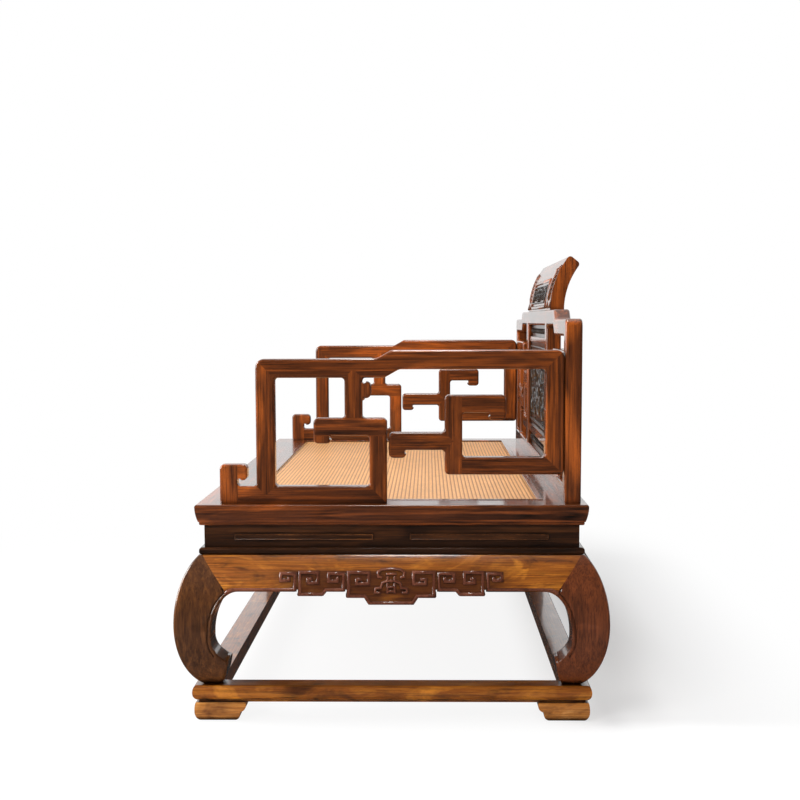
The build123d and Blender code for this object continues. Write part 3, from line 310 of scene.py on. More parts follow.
def rosewood(name, tones, grain, figure=0.0, turn=None, ground=None):
    """Polished rosewood: drifting bands and near-black streaks along the grain give the eye its depth,
    short open pores its fineness, dark wax and painted shade in recesses and joints its age and
    relief, and a thin hard lacquer its wet gloss. In a turn the grain follows another member; in the
    ground of a carving the wood is darker."""
    material, tree, shader = new_material(name)
    pale, middle, dark = (opaque(tone) for tone in (tones.pale, tones.middle, tones.dark))
    start = add_node(tree, "TexCoord").outputs["Object"]
    place = along_grain(tree, start, grain)
    if turn:
        inputs = {
            "Factor": within(tree, start, turn.axis, turn.low * MM, turn.high * MM),
            "A": place,
            "B": along_grain(tree, start, turn.grain),
        }
        place = add_node(tree, "Mix", inputs, data_type="VECTOR").outputs["Result"]
    board = add_node(tree, "ObjectInfo").outputs["Random"]
    shift = add_node(tree, "VectorMath", {0: (3.0, 7.0, 5.0), "Scale": board}, operation="SCALE")
    place = add_node(
        tree, "VectorMath", {0: place, 1: shift.outputs["Vector"]}, operation="ADD"
    ).outputs["Vector"]

    # Repeats per metre along and across the grain: clouds of 90 mm, bands of 8 mm, streaks of 2.6 mm and
    # pores of half a millimetre.
    drift = grained(tree, place, 2.5 + 3.0 * figure, 11.0, 3.0, 0.6, 0.6 + 1.6 * figure)
    stops = [(0.3, dark), (0.45, middle), (0.55, middle), (0.68, pale)]
    body = add_node(tree, "ValToRGB", {"Fac": drift}, stops).outputs["Color"]
    bands = grained(tree, place, 4.0 + 2.0 * figure, 120.0, 4.0, 0.6, 0.5 + figure)
    banded = laid_over(tree, body, pale, bands, 0.46, 0.66, 0.5)
    streaks = grained(tree, place, 7.0, 380.0, 4.0, 0.65, 0.3)
    streaked = laid_over(tree, banded, dark, streaks, 0.47, 0.62, 0.6)
    pores = grained(tree, place, 110.0, 1900.0, 1.0)
    pits = add_node(tree, "MapRange", {"Value": pores, "From Min": 0.6, "From Max": 0.7}).outputs["Result"]
    wood = laid_over(tree, streaked, dark, pits, 0.0, 1.0, 0.45)
    if ground:
        level = within(tree, start, "z", 0.0, ground.top * MM, 3 * MM)
        reach = within(tree, start, grain, 0.0, ground.reach * MM, 30 * MM)
        both = add_node(tree, "Math", {0: level, 1: reach}, operation="MULTIPLY").outputs["Value"]
        wood = laid_over(tree, wood, opaque(ground.tone), both, 0.0, 1.0, 0.8)
    # Dark wax and painted shade: the base colour darkens to as little as 0.22 of itself in recesses, joints
    # and corners, by how much nearby wood occludes them.
    occlusion_shade = add_node(tree, "AmbientOcclusion", {"Distance": 14 * MM}, samples=8).outputs["AO"]
    wax_and_painted_shade = shaded(tree, wood, occlusion_shade, 0.4, 0.92, 0.22, 1.0)
    tree.links.new(wax_and_painted_shade, shader.inputs["Base Color"])

    wear = grained(tree, place, 9.0, 14.0, 3.0)
    polish = add_node(tree, "MapRange", {"Value": wear, "To Min": 0.24, "To Max": 0.42})
    tree.links.new(polish.outputs["Result"], shader.inputs["Roughness"])
    shader.inputs["Specular IOR Level"].default_value = 0.35
    shader.inputs["Coat Weight"].default_value = tones.gloss
    shader.inputs["Coat Roughness"].default_value = 0.1
    shader.inputs["Coat IOR"].default_value = 1.45
    ripple = grained(tree, place, 8.0, 40.0, 2.0)
    soft = add_node(tree, "Bump", {"Height": ripple, "Strength": 0.25, "Distance": 0.4 * MM})
    inputs = {"Height": pits, "Strength": 0.3, "Distance": 0.06 * MM, "Normal": soft.outputs["Normal"]}
    fine = add_node(tree, "Bump", inputs, invert=True)
    tree.links.new(fine.outputs["Normal"], shader.inputs["Normal"])
    tree.links.new(soft.outputs["Normal"], shader.inputs["Coat Normal"])
    return material


def woven_cane(settings):
    """Close plain weave of split cane: each strand is a low pale crown, with painted shade where it dips
    under its neighbour and painted shadow in the small dark gaps where four strands meet."""
    material, tree, shader = new_material("woven_cane")
    place = add_node(tree, "TexCoord").outputs["Object"]
    wave_scale = (math.pi / settings.weft, math.pi / settings.warp, 0.0)
    turned = add_node(tree, "VectorMath", {0: place, 1: wave_scale}, operation="MULTIPLY")
    axes = add_node(tree, "SeparateXYZ", {"Vector": turned.outputs["Vector"]})
    waves = [
        add_node(tree, "Math", {0: axes.outputs[axis]}, operation="SINE").outputs["Value"] for axis in "XY"
    ]
    crowns = [add_node(tree, "Math", {0: wave}, operation="ABSOLUTE").outputs["Value"] for wave in waves]
    over = add_node(tree, "Math", {0: waves[0], 1: waves[1]}, operation="MULTIPLY").outputs["Value"]
    side = add_node(tree, "Math", {0: over, 1: 0.0}, operation="GREATER_THAN").outputs["Value"]
    height, other = (
        add_node(tree, "Mix", {"Factor": side, "A": first, "B": second}).outputs["Result"]
        for first, second in (crowns, reversed(crowns))
    )
    lift = add_node(tree, "Math", {0: height, 1: other}, operation="MULTIPLY").outputs["Value"]
    strand = opaque(settings.strand)
    # Painted shade: the weave darkens to the Shade tone where a strand dips and to the Gap tone between
    # strands.
    stops = [(0.0, opaque(settings.gap)), (0.2, opaque(settings.shade)), (0.45, strand), (1.0, strand)]
    woven = add_node(tree, "ValToRGB", {"Fac": lift}, stops).outputs["Color"]
    fibres = shaded(tree, woven, grained(tree, place, 60.0, 60.0, 4.0), 0.3, 0.6, 0.7, 0.5)
    aged = shaded(tree, fibres, grained(tree, place, 5.0, 5.0, 3.0), 0.3, 0.65, 0.8, 0.6)
    tree.links.new(aged, shader.inputs["Base Color"])
    shader.inputs["Roughness"].default_value = 0.5
    shader.inputs["Coat Weight"].default_value = 0.15
    shader.inputs["Coat Roughness"].default_value = 0.4
    bump = add_node(tree, "Bump", {"Height": lift, "Strength": 0.6, "Distance": 0.8 * MM})
    tree.links.new(bump.outputs["Normal"], shader.inputs["Normal"])
    return material


def grain_of(name):
    """The axis along which a piece's wood runs."""
    return next((grain for start, grain in GRAINS.items() if name.startswith(start)), "x")


def wood_for(name, slot):
    """The material of a piece, shared with the pieces whose wood runs alike."""
    settings = bpy.context.scene
    grain = grain_of(name)
    turned = next((start for start in TURNS if name.startswith(start)), "")
    tone = next((tone for start, tone in TONES.items() if name.startswith(start)), slot)
    carved = "ground" if name.startswith("apron_") else ""
    kind = "_".join(part for part in (tone, turned, grain, carved) if part)
    if kind in bpy.data.materials:
        return bpy.data.materials[kind]
    figure = 1.0 if slot == "rosewood_figured" else 0.0
    ground = None
    if carved:
        ground = Ground(CARVED_TOP, CARVED_REACH[grain], settings.daybed_rosewood_ground.dark)
    return rosewood(kind, getattr(settings, "daybed_" + tone), grain, figure, TURNS.get(turned), ground)


# ---------------------------------------- shaping


def rounded(path, radius):
    """The same path with its corners rounded."""
    smooth = [path[0]]
    for before, corner, after in zip(path, path[1:], path[2:]):
        reach = min(radius, 0.45 * (corner - before).length, 0.45 * (after - corner).length)
        start = corner + (before - corner).normalized() * reach
        finish = corner + (after - corner).normalized() * reach
        for share in (0.0, 0.25, 0.5, 0.75, 1.0):
            smooth.append(
                start * (1 - share) ** 2 + corner * 2 * share * (1 - share) + finish * share ** 2
            )
    return smooth + [path[-1]]


def place_at(points):
    """A path in metres from places in millimetres."""
    return [Vector((across * MM, up * MM, 0)) for across, up in points]


def rectangle(left, right, low, high):
    """A closed square line."""
    return [(left, low), (right, low), (right, high), (left, high), (left, low)]


def mirrored(path):
    """The same path on the other side of the middle."""
    return [Vector((-point.x, point.y, 0)) for point in reversed(path)]


# Steps of a carved line's section, in shares of its width and relief.
STEPS_UP = ((0.1, 0.6), (0.14, 0.3), (0.14, 0.1))
FAR = 3.0                               # a distance from the bed's middle that lies well outside it
MITRE_LIMIT = 0.5                       # a line's mitre grows to no more than its width over this


def gather(bm, part):
    """Add a finished bmesh to a larger one."""
    mesh = bpy.data.meshes.new("part")
    part.to_mesh(mesh)
    part.free()
    bm.from_mesh(mesh)
    bpy.data.meshes.remove(mesh)


def lay_band(carving, path, width, relief, taper=1.0):
    """A carved line along a path in the XY plane: flat band, sloped sides and a rounded top."""
    bm = bmesh.new()
    edge = None
    faces = []
    last = len(path) - 1
    for index, point in enumerate(path):
        before = (point - path[index - 1]).normalized() if index else None
        after = (path[index + 1] - point).normalized() if index < last else None
        before, after = before or after, after or before
        heading = (before + after).normalized()
        half = width / 2 * (1 - (1 - taper) * index / last)
        reach = half / max(heading.dot(after), MITRE_LIMIT)
        sideways = Vector((-heading.y, heading.x, 0)) * reach
        if edge is None:
            ends = [bm.verts.new(point + sideways), bm.verts.new(point - sideways)]
            edge = bm.edges.new(ends)
            continue
        grown = bmesh.ops.extrude_edge_only(bm, edges=[edge])["geom"]
        faces += [part for part in grown if isinstance(part, bmesh.types.BMFace)]
        new_ends = [part for part in grown if isinstance(part, bmesh.types.BMVert)]
        edge = next(part for part in grown if isinstance(part, bmesh.types.BMEdge) and all(
            end in new_ends for end in part.verts
        ))
        for end in new_ends:
            left = (end.co - path[index - 1]).dot(Vector((-before.y, before.x, 0))) > 0
            end.co = point + sideways if left else point - sideways
    raise_faces(bm, faces, width, relief)
    gather(carving, bm)


def raise_faces(bm, faces, width, relief):
    """Lift flat faces in steps, so that their edges slope and their top is round."""
    bmesh.ops.recalc_face_normals(bm, faces=faces)
    if faces[0].normal.z < 0:
        bmesh.ops.reverse_faces(bm, faces=faces)
    for inset, rise in STEPS_UP:
        bmesh.ops.inset_region(
            bm, faces=faces, use_boundary=True, use_even_offset=True, thickness=inset * width,
            depth=rise * relief,
        )


def lay_boss(carving, centre, size, turn=0.0):
    """A low rounded boss: size is its length, width and height."""
    bm = bmesh.new()
    bmesh.ops.create_uvsphere(bm, u_segments=12, v_segments=6, radius=0.5)
    spot = Matrix.Translation(Vector((centre[0], centre[1], 0))) @ Matrix.Rotation(turn, 4, "Z")
    squash = Matrix.Diagonal((size[0], size[1], 2 * size[2], 1))
    bmesh.ops.transform(bm, matrix=spot @ squash, verts=bm.verts)
    gather(carving, bm)


def settle(bm, carriers, side, sink=0.4 * MM):
    """Set a flat carving down on the pieces that carry it, as seen from one side of the bed.
    Where a rounded edge falls away under it, the carving keeps the depth of the nearest wood."""
    outward = Vector(SIDES[side])
    along = Vector((0, 0, 1)).cross(outward)
    depsgraph = bpy.context.evaluated_depsgraph_get()
    surfaces = [BVHTree.FromObject(nodes[name], depsgraph) for name in carriers]
    last_level = max(corner.dot(outward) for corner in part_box(carriers[0]))
    for spot in bm.verts:
        origin = along * spot.co.x + Vector((0, 0, spot.co.y)) + outward * FAR
        hits = [tree.ray_cast(origin, -outward) for tree in surfaces]
        level = max((hit[0].dot(outward) for hit in hits if hit[0] is not None), default=None)
        if level is None:
            edge = origin + outward * (last_level - FAR)
            level = max(tree.find_nearest(edge)[0].dot(outward) for tree in surfaces)
        last_level = level
        spot.co = origin + outward * (level - FAR + spot.co.z - sink)


def finish_piece(bm, name, material):
    """Turn a bmesh into a shaded piece that rides on the bed."""
    bmesh.ops.recalc_face_normals(bm, faces=bm.faces)
    mesh = bpy.data.meshes.new(name)
    bm.to_mesh(mesh)
    bm.free()
    for face in mesh.polygons:
        face.use_smooth = True
    piece = bpy.data.objects.new(name, mesh)
    bpy.context.scene.collection.objects.link(piece)
    piece.data.materials.append(material)
    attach(piece, "root")
    return piece


def plain_copy(node, name):
    """A welded copy of a piece of the frame."""
    bm = bmesh.new()
    bm.from_mesh(node.data)
    bmesh.ops.transform(bm, matrix=node.matrix_world, verts=bm.verts)
    bmesh.ops.remove_doubles(bm, verts=bm.verts, dist=0.01 * MM)
    mesh = bpy.data.meshes.new(name)
    bm.to_mesh(mesh)
    bm.free()
    copy = bpy.data.objects.new(name, mesh)
    bpy.context.scene.collection.objects.link(copy)
    return copy


def lies_towards(piece, direction):
    """Whether a piece stands on one side of the bed's middle."""
    corner = Vector(piece.bound_box[0]) + Vector(piece.bound_box[6])
    return corner.dot(Vector(direction)) > 0


# The middle of the arch that a leg's inner edge follows, from the leg's outermost point, from its face
# and from the floor; and the directions in which the lip runs along that edge, in degrees above level.
ARCH_ACROSS = 193 * MM
ARCH_BEHIND = 66 * MM
ARCH_HEIGHT = 230 * MM
LIP_DIRECTIONS = range(46, -38, -3)


def groove(leg, direction, carving, depsgraph):
    """A rod that follows the inner edge of a leg's face, as far inside it as the lip is wide."""
    depsgraph.update()
    wood = BVHTree.FromObject(leg, depsgraph)
    outward = Vector(direction)
    corners = [Vector(corner) for corner in leg.bound_box]
    middle = sum(corners, Vector()) / 8
    along = Vector((0, 0, 1)).cross(outward)
    along *= math.copysign(1, middle.dot(along))
    outer = max(corner.dot(along) for corner in corners)
    face = max(corner.dot(outward) for corner in corners)
    centre = along * (outer - ARCH_ACROSS) + outward * (face - ARCH_BEHIND) + Vector((0, 0, ARCH_HEIGHT))
    places = []
    for degrees in LIP_DIRECTIONS:
        angle = math.radians(degrees)
        heading = along * math.cos(angle) + Vector((0, 0, math.sin(angle)))
        spot = wood.ray_cast(centre, heading)[0]
        if spot is None:
            continue
        inside = spot + heading * carving.lip - outward * outward.dot(spot)
        surface = wood.ray_cast(inside + outward * FAR, -outward)[0]
        if surface is not None:
            places.append(surface)
    rod = bpy.data.curves.new("groove", "CURVE")
    rod.dimensions = "3D"
    rod.bevel_depth = carving.quirk
    rod.bevel_resolution = 1
    rod.use_fill_caps = True
    spline = rod.splines.new("POLY")
    spline.points.add(len(places) - 1)
    for point, place in zip(spline.points, places):
        point.co = (*place, 1)
    holder = bpy.data.objects.new("groove", rod)
    bpy.context.scene.collection.objects.link(holder)
    depsgraph.update()
    mesh = bpy.data.meshes.new_from_object(holder.evaluated_get(depsgraph))
    bpy.data.objects.remove(holder)
    cutter = bpy.data.objects.new("groove", mesh)
    bpy.context.scene.collection.objects.link(cutter)
    return cutter


# ---------------------------------------- carved patterns


def key_scroll(start, corner, length, drop, back, rise, hand):
    """A square scroll: up from the notch, along, down, back and up again."""
    across, low = start
    return [
        (across, low),
        (across, corner),
        (across + hand * length, corner),
        (across + hand * length, corner - drop),
        (across + hand * (length - back), corner - drop),
        (across + hand * (length - back), corner - drop + rise),
    ]


# An apron's carving, in millimetres: middle of the lip's line above the wood's lower edge, middle of a
# line beside a notch, the scrolls' top, and the places where the lip turns down into the leg, in from
# the apron's end and below its straight part.
LIP_ABOVE = 4.0
BESIDE_NOTCH = 5.3
SLOPE_IN = 2.2
SCROLL_TOP = 349.0
LEG_TURN = ((72, 0), (63, 3), (55, 9))


def apron_lines(cusps, half):
    """Carved lines of the right half of an apron: the one that crosses its middle, that of the tab, and
    that of the leg."""
    pendant, shelf, tab, straight = (
        level / MM + LIP_ABOVE for level in (pendant_low, shelf_low, tab_low, arch_top)
    )
    inner = cusps["notch"] - BESIDE_NOTCH
    outer = cusps["notch"] + BESIDE_NOTCH
    tab_end = cusps["outer"] - BESIDE_NOTCH
    leg_start = cusps["outer"] + BESIDE_NOTCH
    low_top = SCROLL_TOP - 2.5
    crossing = [
        (0, pendant),
        (cusps["pendant"] - SLOPE_IN, pendant),
        (cusps["slope"] - SLOPE_IN, shelf),
        *key_scroll((inner, shelf), SCROLL_TOP, length=46, drop=24, back=27, rise=9, hand=-1),
        (inner - 31, SCROLL_TOP - 15),
    ]
    tab_line = [
        *reversed(key_scroll((outer, straight), low_top, length=34, drop=16, back=20, rise=10, hand=1)),
        (cusps["tab"], straight),
        (cusps["tab_slope"], tab),
        *key_scroll((tab_end, tab), SCROLL_TOP, length=41, drop=22, back=22, rise=8, hand=-1),
        (tab_end - 29, SCROLL_TOP - 14),
    ]
    leg_line = [
        *reversed(key_scroll((leg_start, straight), low_top, length=32, drop=14, back=18, rise=8, hand=1)),
        *((half / MM - in_by, straight - fall) for in_by, fall in LEG_TURN),
    ]
    return crossing, tab_line, leg_line


# The knot over the middle of an apron: cloud head, waist and two curling feet.
KNOT = (
    ((-20, 338), (-29, 340), (-30, 350), (-22, 355), (0, 357), (22, 355), (30, 350), (29, 340), (20, 338)),
    ((-12, 346), (12, 346)),
    ((-8, 342), (-8, 331), (-20, 327), (-23, 316), (-35, 315), (-36, 306), (-27, 306), (-27, 309)),
    ((8, 342), (8, 331), (20, 327), (23, 316), (35, 315), (36, 306), (27, 306), (27, 309)),
    ((-8, 331), (8, 331)),
    ((-8, 328), (-8, 304)),
    ((8, 328), (8, 304)),
    ((-8, 318), (8, 318)),
    ((-8, 309), (8, 309)),
)
KNOT_LINE = 0.75                        # width of its lines, as a share of the other lines'
KNOT_STRETCH = 1.6                      # how much wider it is on the long aprons


def spiral(centre, radius, turns, start, hand, fade=0.22):
    """A round scroll that winds in from its outer end."""
    steps = int(turns * 20)
    points = []
    for index in range(steps + 1):
        share = index / steps
        reach = radius * (1 - share * (1 - fade))
        angle = math.radians(start) + hand * share * turns * 2 * math.pi
        points.append((centre[0] + reach * math.cos(angle), centre[1] + reach * math.sin(angle)))
    return points


TALL_FIELD = 120                        # a field higher than this has two rows of scrolls
SCROLL_TURNS = 1.6
LEAVES = 5
PETALS = 8

# In shares of a scroll's radius: its line, the circle on which its leaves lie, and a leaf.
SCROLL_LINE = 0.24
LEAF_CIRCLE = 1.12
LEAF_LENGTH = 0.42
LEAF_WIDTH = 0.2

# The rings of a rosette: radius and line, in shares of its own radius.
RINGS = ((1.0, 0.09), (0.42, 0.07))


def scroll_field(bm, low, high, half_width, middle_gap, carving):
    """Rows of linked round scrolls with leaves, mirrored about the middle, between two heights."""
    rows = 2 if high - low > TALL_FIELD else 1
    tall = (high - low) / rows
    radius = 0.4 * tall
    count = max(1, round((half_width - middle_gap) / (2.5 * radius)))
    spacing = (half_width - middle_gap) / count
    for row in range(rows):
        level = low + tall * (row + 0.5)
        for index in range(count):
            hand = 1 if (index + row) % 2 else -1
            centre = (middle_gap + spacing * (index + 0.5), level)
            for flip in (1, -1):
                coil = spiral((0, 0), radius, SCROLL_TURNS, 200 * hand, -hand)
                path = place_at([(flip * (centre[0] + x), centre[1] + y) for x, y in coil])
                lay_band(bm, path, SCROLL_LINE * radius * MM, carving.relief, taper=0.5)
                for leaf in range(LEAVES):
                    angle = math.radians(360 / LEAVES * leaf + 20 * hand)
                    spot = (
                        flip * (centre[0] + LEAF_CIRCLE * radius * math.cos(angle)) * MM,
                        (centre[1] + LEAF_CIRCLE * radius * math.sin(angle)) * MM,
                    )
                    size = (LEAF_LENGTH * radius * MM, LEAF_WIDTH * radius * MM, 0.8 * carving.relief)
                    lay_boss(bm, spot, size, flip * (angle + 1.1))


def rosette(bm, centre, radius, carving):
    """A round flower in two rings."""
    middle = Vector((centre[0] * MM, centre[1] * MM, 0))
    for share, width in RINGS:
        ring = [
            middle + Vector((math.cos(a), math.sin(a), 0)) * radius * share * MM
            for a in (2 * math.pi * step / 40 for step in range(41))
        ]
        lay_band(bm, ring, width * radius * MM, carving.relief)
    for petal in range(PETALS):
        angle = 2 * math.pi * petal / PETALS
        spot = middle + Vector((math.cos(angle), math.sin(angle), 0)) * 0.7 * radius * MM
        lay_boss(bm, spot, (0.5 * radius * MM, 0.3 * radius * MM, 1.3 * carving.relief), angle)
    lay_boss(bm, middle, (0.5 * radius * MM, 0.5 * radius * MM, 1.3 * carving.relief))


# ---------------------------------------- operators


class DAYBED_OT_woods(bpy.types.Operator):
    """Give every piece of the frame its rosewood, with the grain along the piece."""

    bl_idname = "daybed.woods"
    bl_label = "Finish the woods"

    def execute(self, context):
        for name, node in nodes.items():
            slot = node.data.materials[0].name.split(".")[0]
            if slot == "cane":
                continue
            for index in range(len(node.data.materials)):
                node.data.materials[index] = wood_for(name, slot)
        return {"FINISHED"}


class DAYBED_OT_cane(bpy.types.Operator):
    """Stretch the woven cane over the seat frame."""

    bl_idname = "daybed.cane"
    bl_label = "Weave the seat"

    def execute(self, context):
        settings = context.scene.daybed_cane
        low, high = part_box("cane_mat")
        bm = bmesh.new()
        bmesh.ops.create_grid(bm, x_segments=72, y_segments=30, size=0.5)
        size = high - low
        for spot in bm.verts:
            fall = (1 - (2 * spot.co.x) ** 2) * (1 - (2 * spot.co.y) ** 2)
            level = high.z - settings.sag * fall
            spot.co = Vector((spot.co.x * size.x, spot.co.y * size.y, level))
        mat = finish_piece(bm, "cane_seat", woven_cane(settings))
        if mat.data.polygons[0].normal.z < 0:
            mat.data.flip_normals()
        weave = mat.modifiers.new("thickness", "SOLIDIFY")
        weave.thickness = settings.thickness
        weave.offset = -1
        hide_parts("cane_mat")
        return {"FINISHED"}


class DAYBED_OT_aprons(bpy.types.Operator):
    """Carve the four aprons: lips, square scrolls and knots."""

    bl_idname = "daybed.aprons"
    bl_label = "Carve the aprons"

    def execute(self, context):
        carving = context.scene.daybed_carving
        legs = [name for name in nodes if name.startswith("leg")]
        for side in SIDES:
            long = side in LONG_SIDES
            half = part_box(f"apron_{side}")[1][0 if long else 1]
            crossing, tab_line, leg_line = apron_lines(LONG_CUSPS if long else SHORT_CUSPS, half)
            bm = bmesh.new()
            middle = place_at(crossing)
            lay_band(bm, mirrored(middle)[:-1] + middle, carving.line, carving.relief)
            for points in (tab_line, leg_line):
                path = place_at(points)
                lay_band(bm, path, carving.line, carving.relief)
                lay_band(bm, mirrored(path), carving.line, carving.relief)
            stretch = KNOT_STRETCH if long else 1.0
            for points in KNOT:
                path = place_at([(across * stretch, up) for across, up in points])
                lay_band(bm, path, KNOT_LINE * carving.line, carving.relief)
            settle(bm, [f"apron_{side}", *legs], side)
            name = f"carving_{side}"
            finish_piece(bm, name, wood_for(name, "rosewood_ground"))
        return {"FINISHED"}


class DAYBED_OT_waist(bpy.types.Operator):
    """Edge the raised bars on the waist with a fine bead."""

    bl_idname = "daybed.waist"
    bl_label = "Bead the waist"

    def execute(self, context):
        carving = context.scene.daybed_carving
        for side in SIDES:
            bars = LONG_BARS if side in LONG_SIDES else SHORT_BARS
            bm = bmesh.new()
            for bar in range(bars.count):
                middle = (bar - (bars.count - 1) / 2) * (bars.length + bars.gap)
                reach = bars.length / 2 - BEAD_IN
                line = rectangle(middle - reach, middle + reach, BAR_LOW, BAR_HIGH)
                lay_band(bm, place_at(line), carving.bead, carving.bead_relief)
            settle(bm, [f"waist_{side}"], side)
            name = f"waist_beads_{side}"
            finish_piece(bm, name, wood_for(name, "rosewood_leg"))
        return {"FINISHED"}


class DAYBED_OT_legs(bpy.types.Operator):
    """Cut the quirk that sets off the rolled lip down the inner edge of each leg."""

    bl_idname = "daybed.legs"
    bl_label = "Cut the leg lips"

    def execute(self, context):
        carving = context.scene.daybed_carving
        depsgraph = context.evaluated_depsgraph_get()
        for name in [name for name in nodes if name.startswith("leg")]:
            leg = plain_copy(nodes[name], name + "_lipped")
            cutters = [
                groove(leg, direction, carving, depsgraph)
                for direction in SIDES.values() if lies_towards(leg, direction)
            ]
            for cutter in cutters:
                cut = leg.modifiers.new("lip", "BOOLEAN")
                cut.operation = "DIFFERENCE"
                cut.object = cutter
            depsgraph.update()
            carved = bpy.data.meshes.new_from_object(leg.evaluated_get(depsgraph))
            leg.modifiers.clear()
            leg.data = carved
            for cutter in cutters:
                bpy.data.objects.remove(cutter)
            leg.data.materials.clear()
            leg.data.materials.append(wood_for(name, "rosewood"))
            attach(leg, "root")
            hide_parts(name)
        return {"FINISHED"}


# The back's panels, in millimetres: half the gap between their scrolls, and how far in these begin.
PANELS = {"carved_panel": (96, 16), "upper_panel": (0, 4), "lower_panel": (0, 4)}
PANEL_EDGE = 8                          # what the stiles' grooves hide of a panel
PANEL_ROSETTE = 84
FRAME_LINE = 6                          # width of the line round a carved field
SCROLLS_IN = 6                          # how far inside that line the scrolls' field begins


class DAYBED_OT_panels(bpy.types.Operator):
    """Carve the panels between the back's stiles."""

    bl_idname = "daybed.panels"
    bl_label = "Carve the panels"

    def execute(self, context):
        carving = context.scene.daybed_carving
        for name, (gap, inset) in PANELS.items():
            low, high = (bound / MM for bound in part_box(name))
            half = high.x - PANEL_EDGE
            bottom, top = low.z + inset, high.z - inset
            bm = bmesh.new()
            if name == "carved_panel":
                line = rectangle(-half + inset, half - inset, bottom, top)
                lay_band(bm, rounded(place_at(line), 10 * MM), FRAME_LINE * MM, carving.relief)
                rosette(bm, (0, (low.z + high.z) / 2), PANEL_ROSETTE, carving)
            reach = half - inset - 2 * SCROLLS_IN
            scroll_field(bm, bottom + SCROLLS_IN, top - SCROLLS_IN, reach, gap, carving)
            settle(bm, [name], "front")
            finish_piece(bm, f"{name}_relief", wood_for(name, "rosewood_carved"))
        return {"FINISHED"}


# The crest's front, in millimetres: half the length of its framed field, the wood left below and above
# that, and widths of the batten round it and of the lines near the crest's ends.
CREST_FIELD = 250
CREST_BELOW, CREST_ABOVE = 10, 56
CREST_BATTEN = 11
CREST_EDGE = 7
CREST_ENDS = (96, 14)                   # how far from the crest's end those lines stand
CREST_ROSETTE = 24
CREST_GAP = 34                          # half the gap between the scrolls, round the rosette
ROPE_STRANDS = 7
ROPE_START = (62, 28)                   # its lowest strand, in from the end and above the batten
ROPE_STEP = (3.2, 11)                   # from a strand to the next, outwards and upwards


class DAYBED_OT_crest(bpy.types.Operator):
    """Carve the crest: battens over the stiles and a framed field between them."""

    bl_idname = "daybed.crest"
    bl_label = "Carve the crest"

    def execute(self, context):
        carving = context.scene.daybed_carving
        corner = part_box("crest_rail")[1] / MM
        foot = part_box("back_centre_rail")[1].z / MM
        bottom, top = foot + CREST_BELOW, corner.z - CREST_ABOVE
        battens = bmesh.new()
        line = rectangle(-CREST_FIELD, CREST_FIELD, bottom, top)
        lay_band(battens, place_at(line), CREST_BATTEN * MM, carving.relief)
        for flip in (1, -1):
            for strand in range(ROPE_STRANDS):
                spot = (
                    flip * (corner.x - ROPE_START[0] + ROPE_STEP[0] * strand) * MM,
                    (bottom + ROPE_START[1] + ROPE_STEP[1] * strand) * MM,
                )
                lay_boss(battens, spot, (46 * MM, 9 * MM, 1.2 * carving.relief), flip * math.radians(38))
            for inwards in CREST_ENDS:
                across = flip * (corner.x - inwards)
                line = [(across, foot + 4), (across, corner.z - 26)]
                lay_band(battens, place_at(line), CREST_EDGE * MM, carving.relief)
        field = bmesh.new()
        reach = CREST_FIELD - 28
        line = rectangle(-reach, reach, bottom + 13, top - 13)
        lay_band(field, rounded(place_at(line), 14 * MM), FRAME_LINE * MM, carving.relief)
        scroll_field(field, bottom + 18, top - 18, CREST_FIELD - 36, CREST_GAP, carving)
        rosette(field, (0, (bottom + top) / 2), CREST_ROSETTE, carving)
        for relief, name, slot in (
            (battens, "crest_battens", "rosewood"), (field, "crest_relief", "rosewood_carved")
        ):
            settle(relief, ["crest_rail"], "front")
            finish_piece(relief, name, wood_for(name, slot))
        return {"FINISHED"}


class DAYBED_OT_stage(bpy.types.Operator):
    """Set the floor, the lamps, the sky and the camera."""

    bl_idname = "daybed.stage"
    bl_label = "Set the stage"

    def execute(self, context):
        settings = context.scene.daybed_stage
        build_floor(settings)
        build_lamp("key_lamp", (0.9, -3.2, 1.9), (1.2, 2.4), settings.key_power)
        build_lamp("top_lamp", (0.6, 0.0, 3.6), (0.5, 1.6), settings.top_power)
        fill_lamp = build_lamp("fill_lamp", (4.0, -1.6, 3.0), (2.4, 2.4), settings.fill_power)
        fill_lamp.visible_glossy = False
        build_sky(settings)
        build_camera()
        context.scene.view_settings.view_transform = "Standard"
        return {"FINISHED"}


DARK_STUDIO = 0.03                      # how bright the rest of the studio is in reflections


def white_for(tree, place, near, far, reflected):
    """Strength of the white backdrop: full for the camera; for reflections it has a level of its own
    at and behind the bed and is dim past its right end, where the studio is dark. Near and far are
    places along X."""
    rays = add_node(tree, "LightPath").outputs
    along = add_node(tree, "SeparateXYZ", {"Vector": place}).outputs["X"]
    inputs = {"Value": along, "From Min": near, "From Max": far, "To Min": reflected, "To Max": DARK_STUDIO}
    level = add_node(tree, "MapRange", inputs, interpolation_type="SMOOTHSTEP").outputs["Result"]
    glossy = add_node(tree, "Math", {0: rays["Is Glossy Ray"], 1: level}, operation="MULTIPLY")
    return add_node(
        tree, "Math", {0: rays["Is Camera Ray"], 1: glossy.outputs["Value"]}, operation="MAXIMUM"
    ).outputs["Value"]


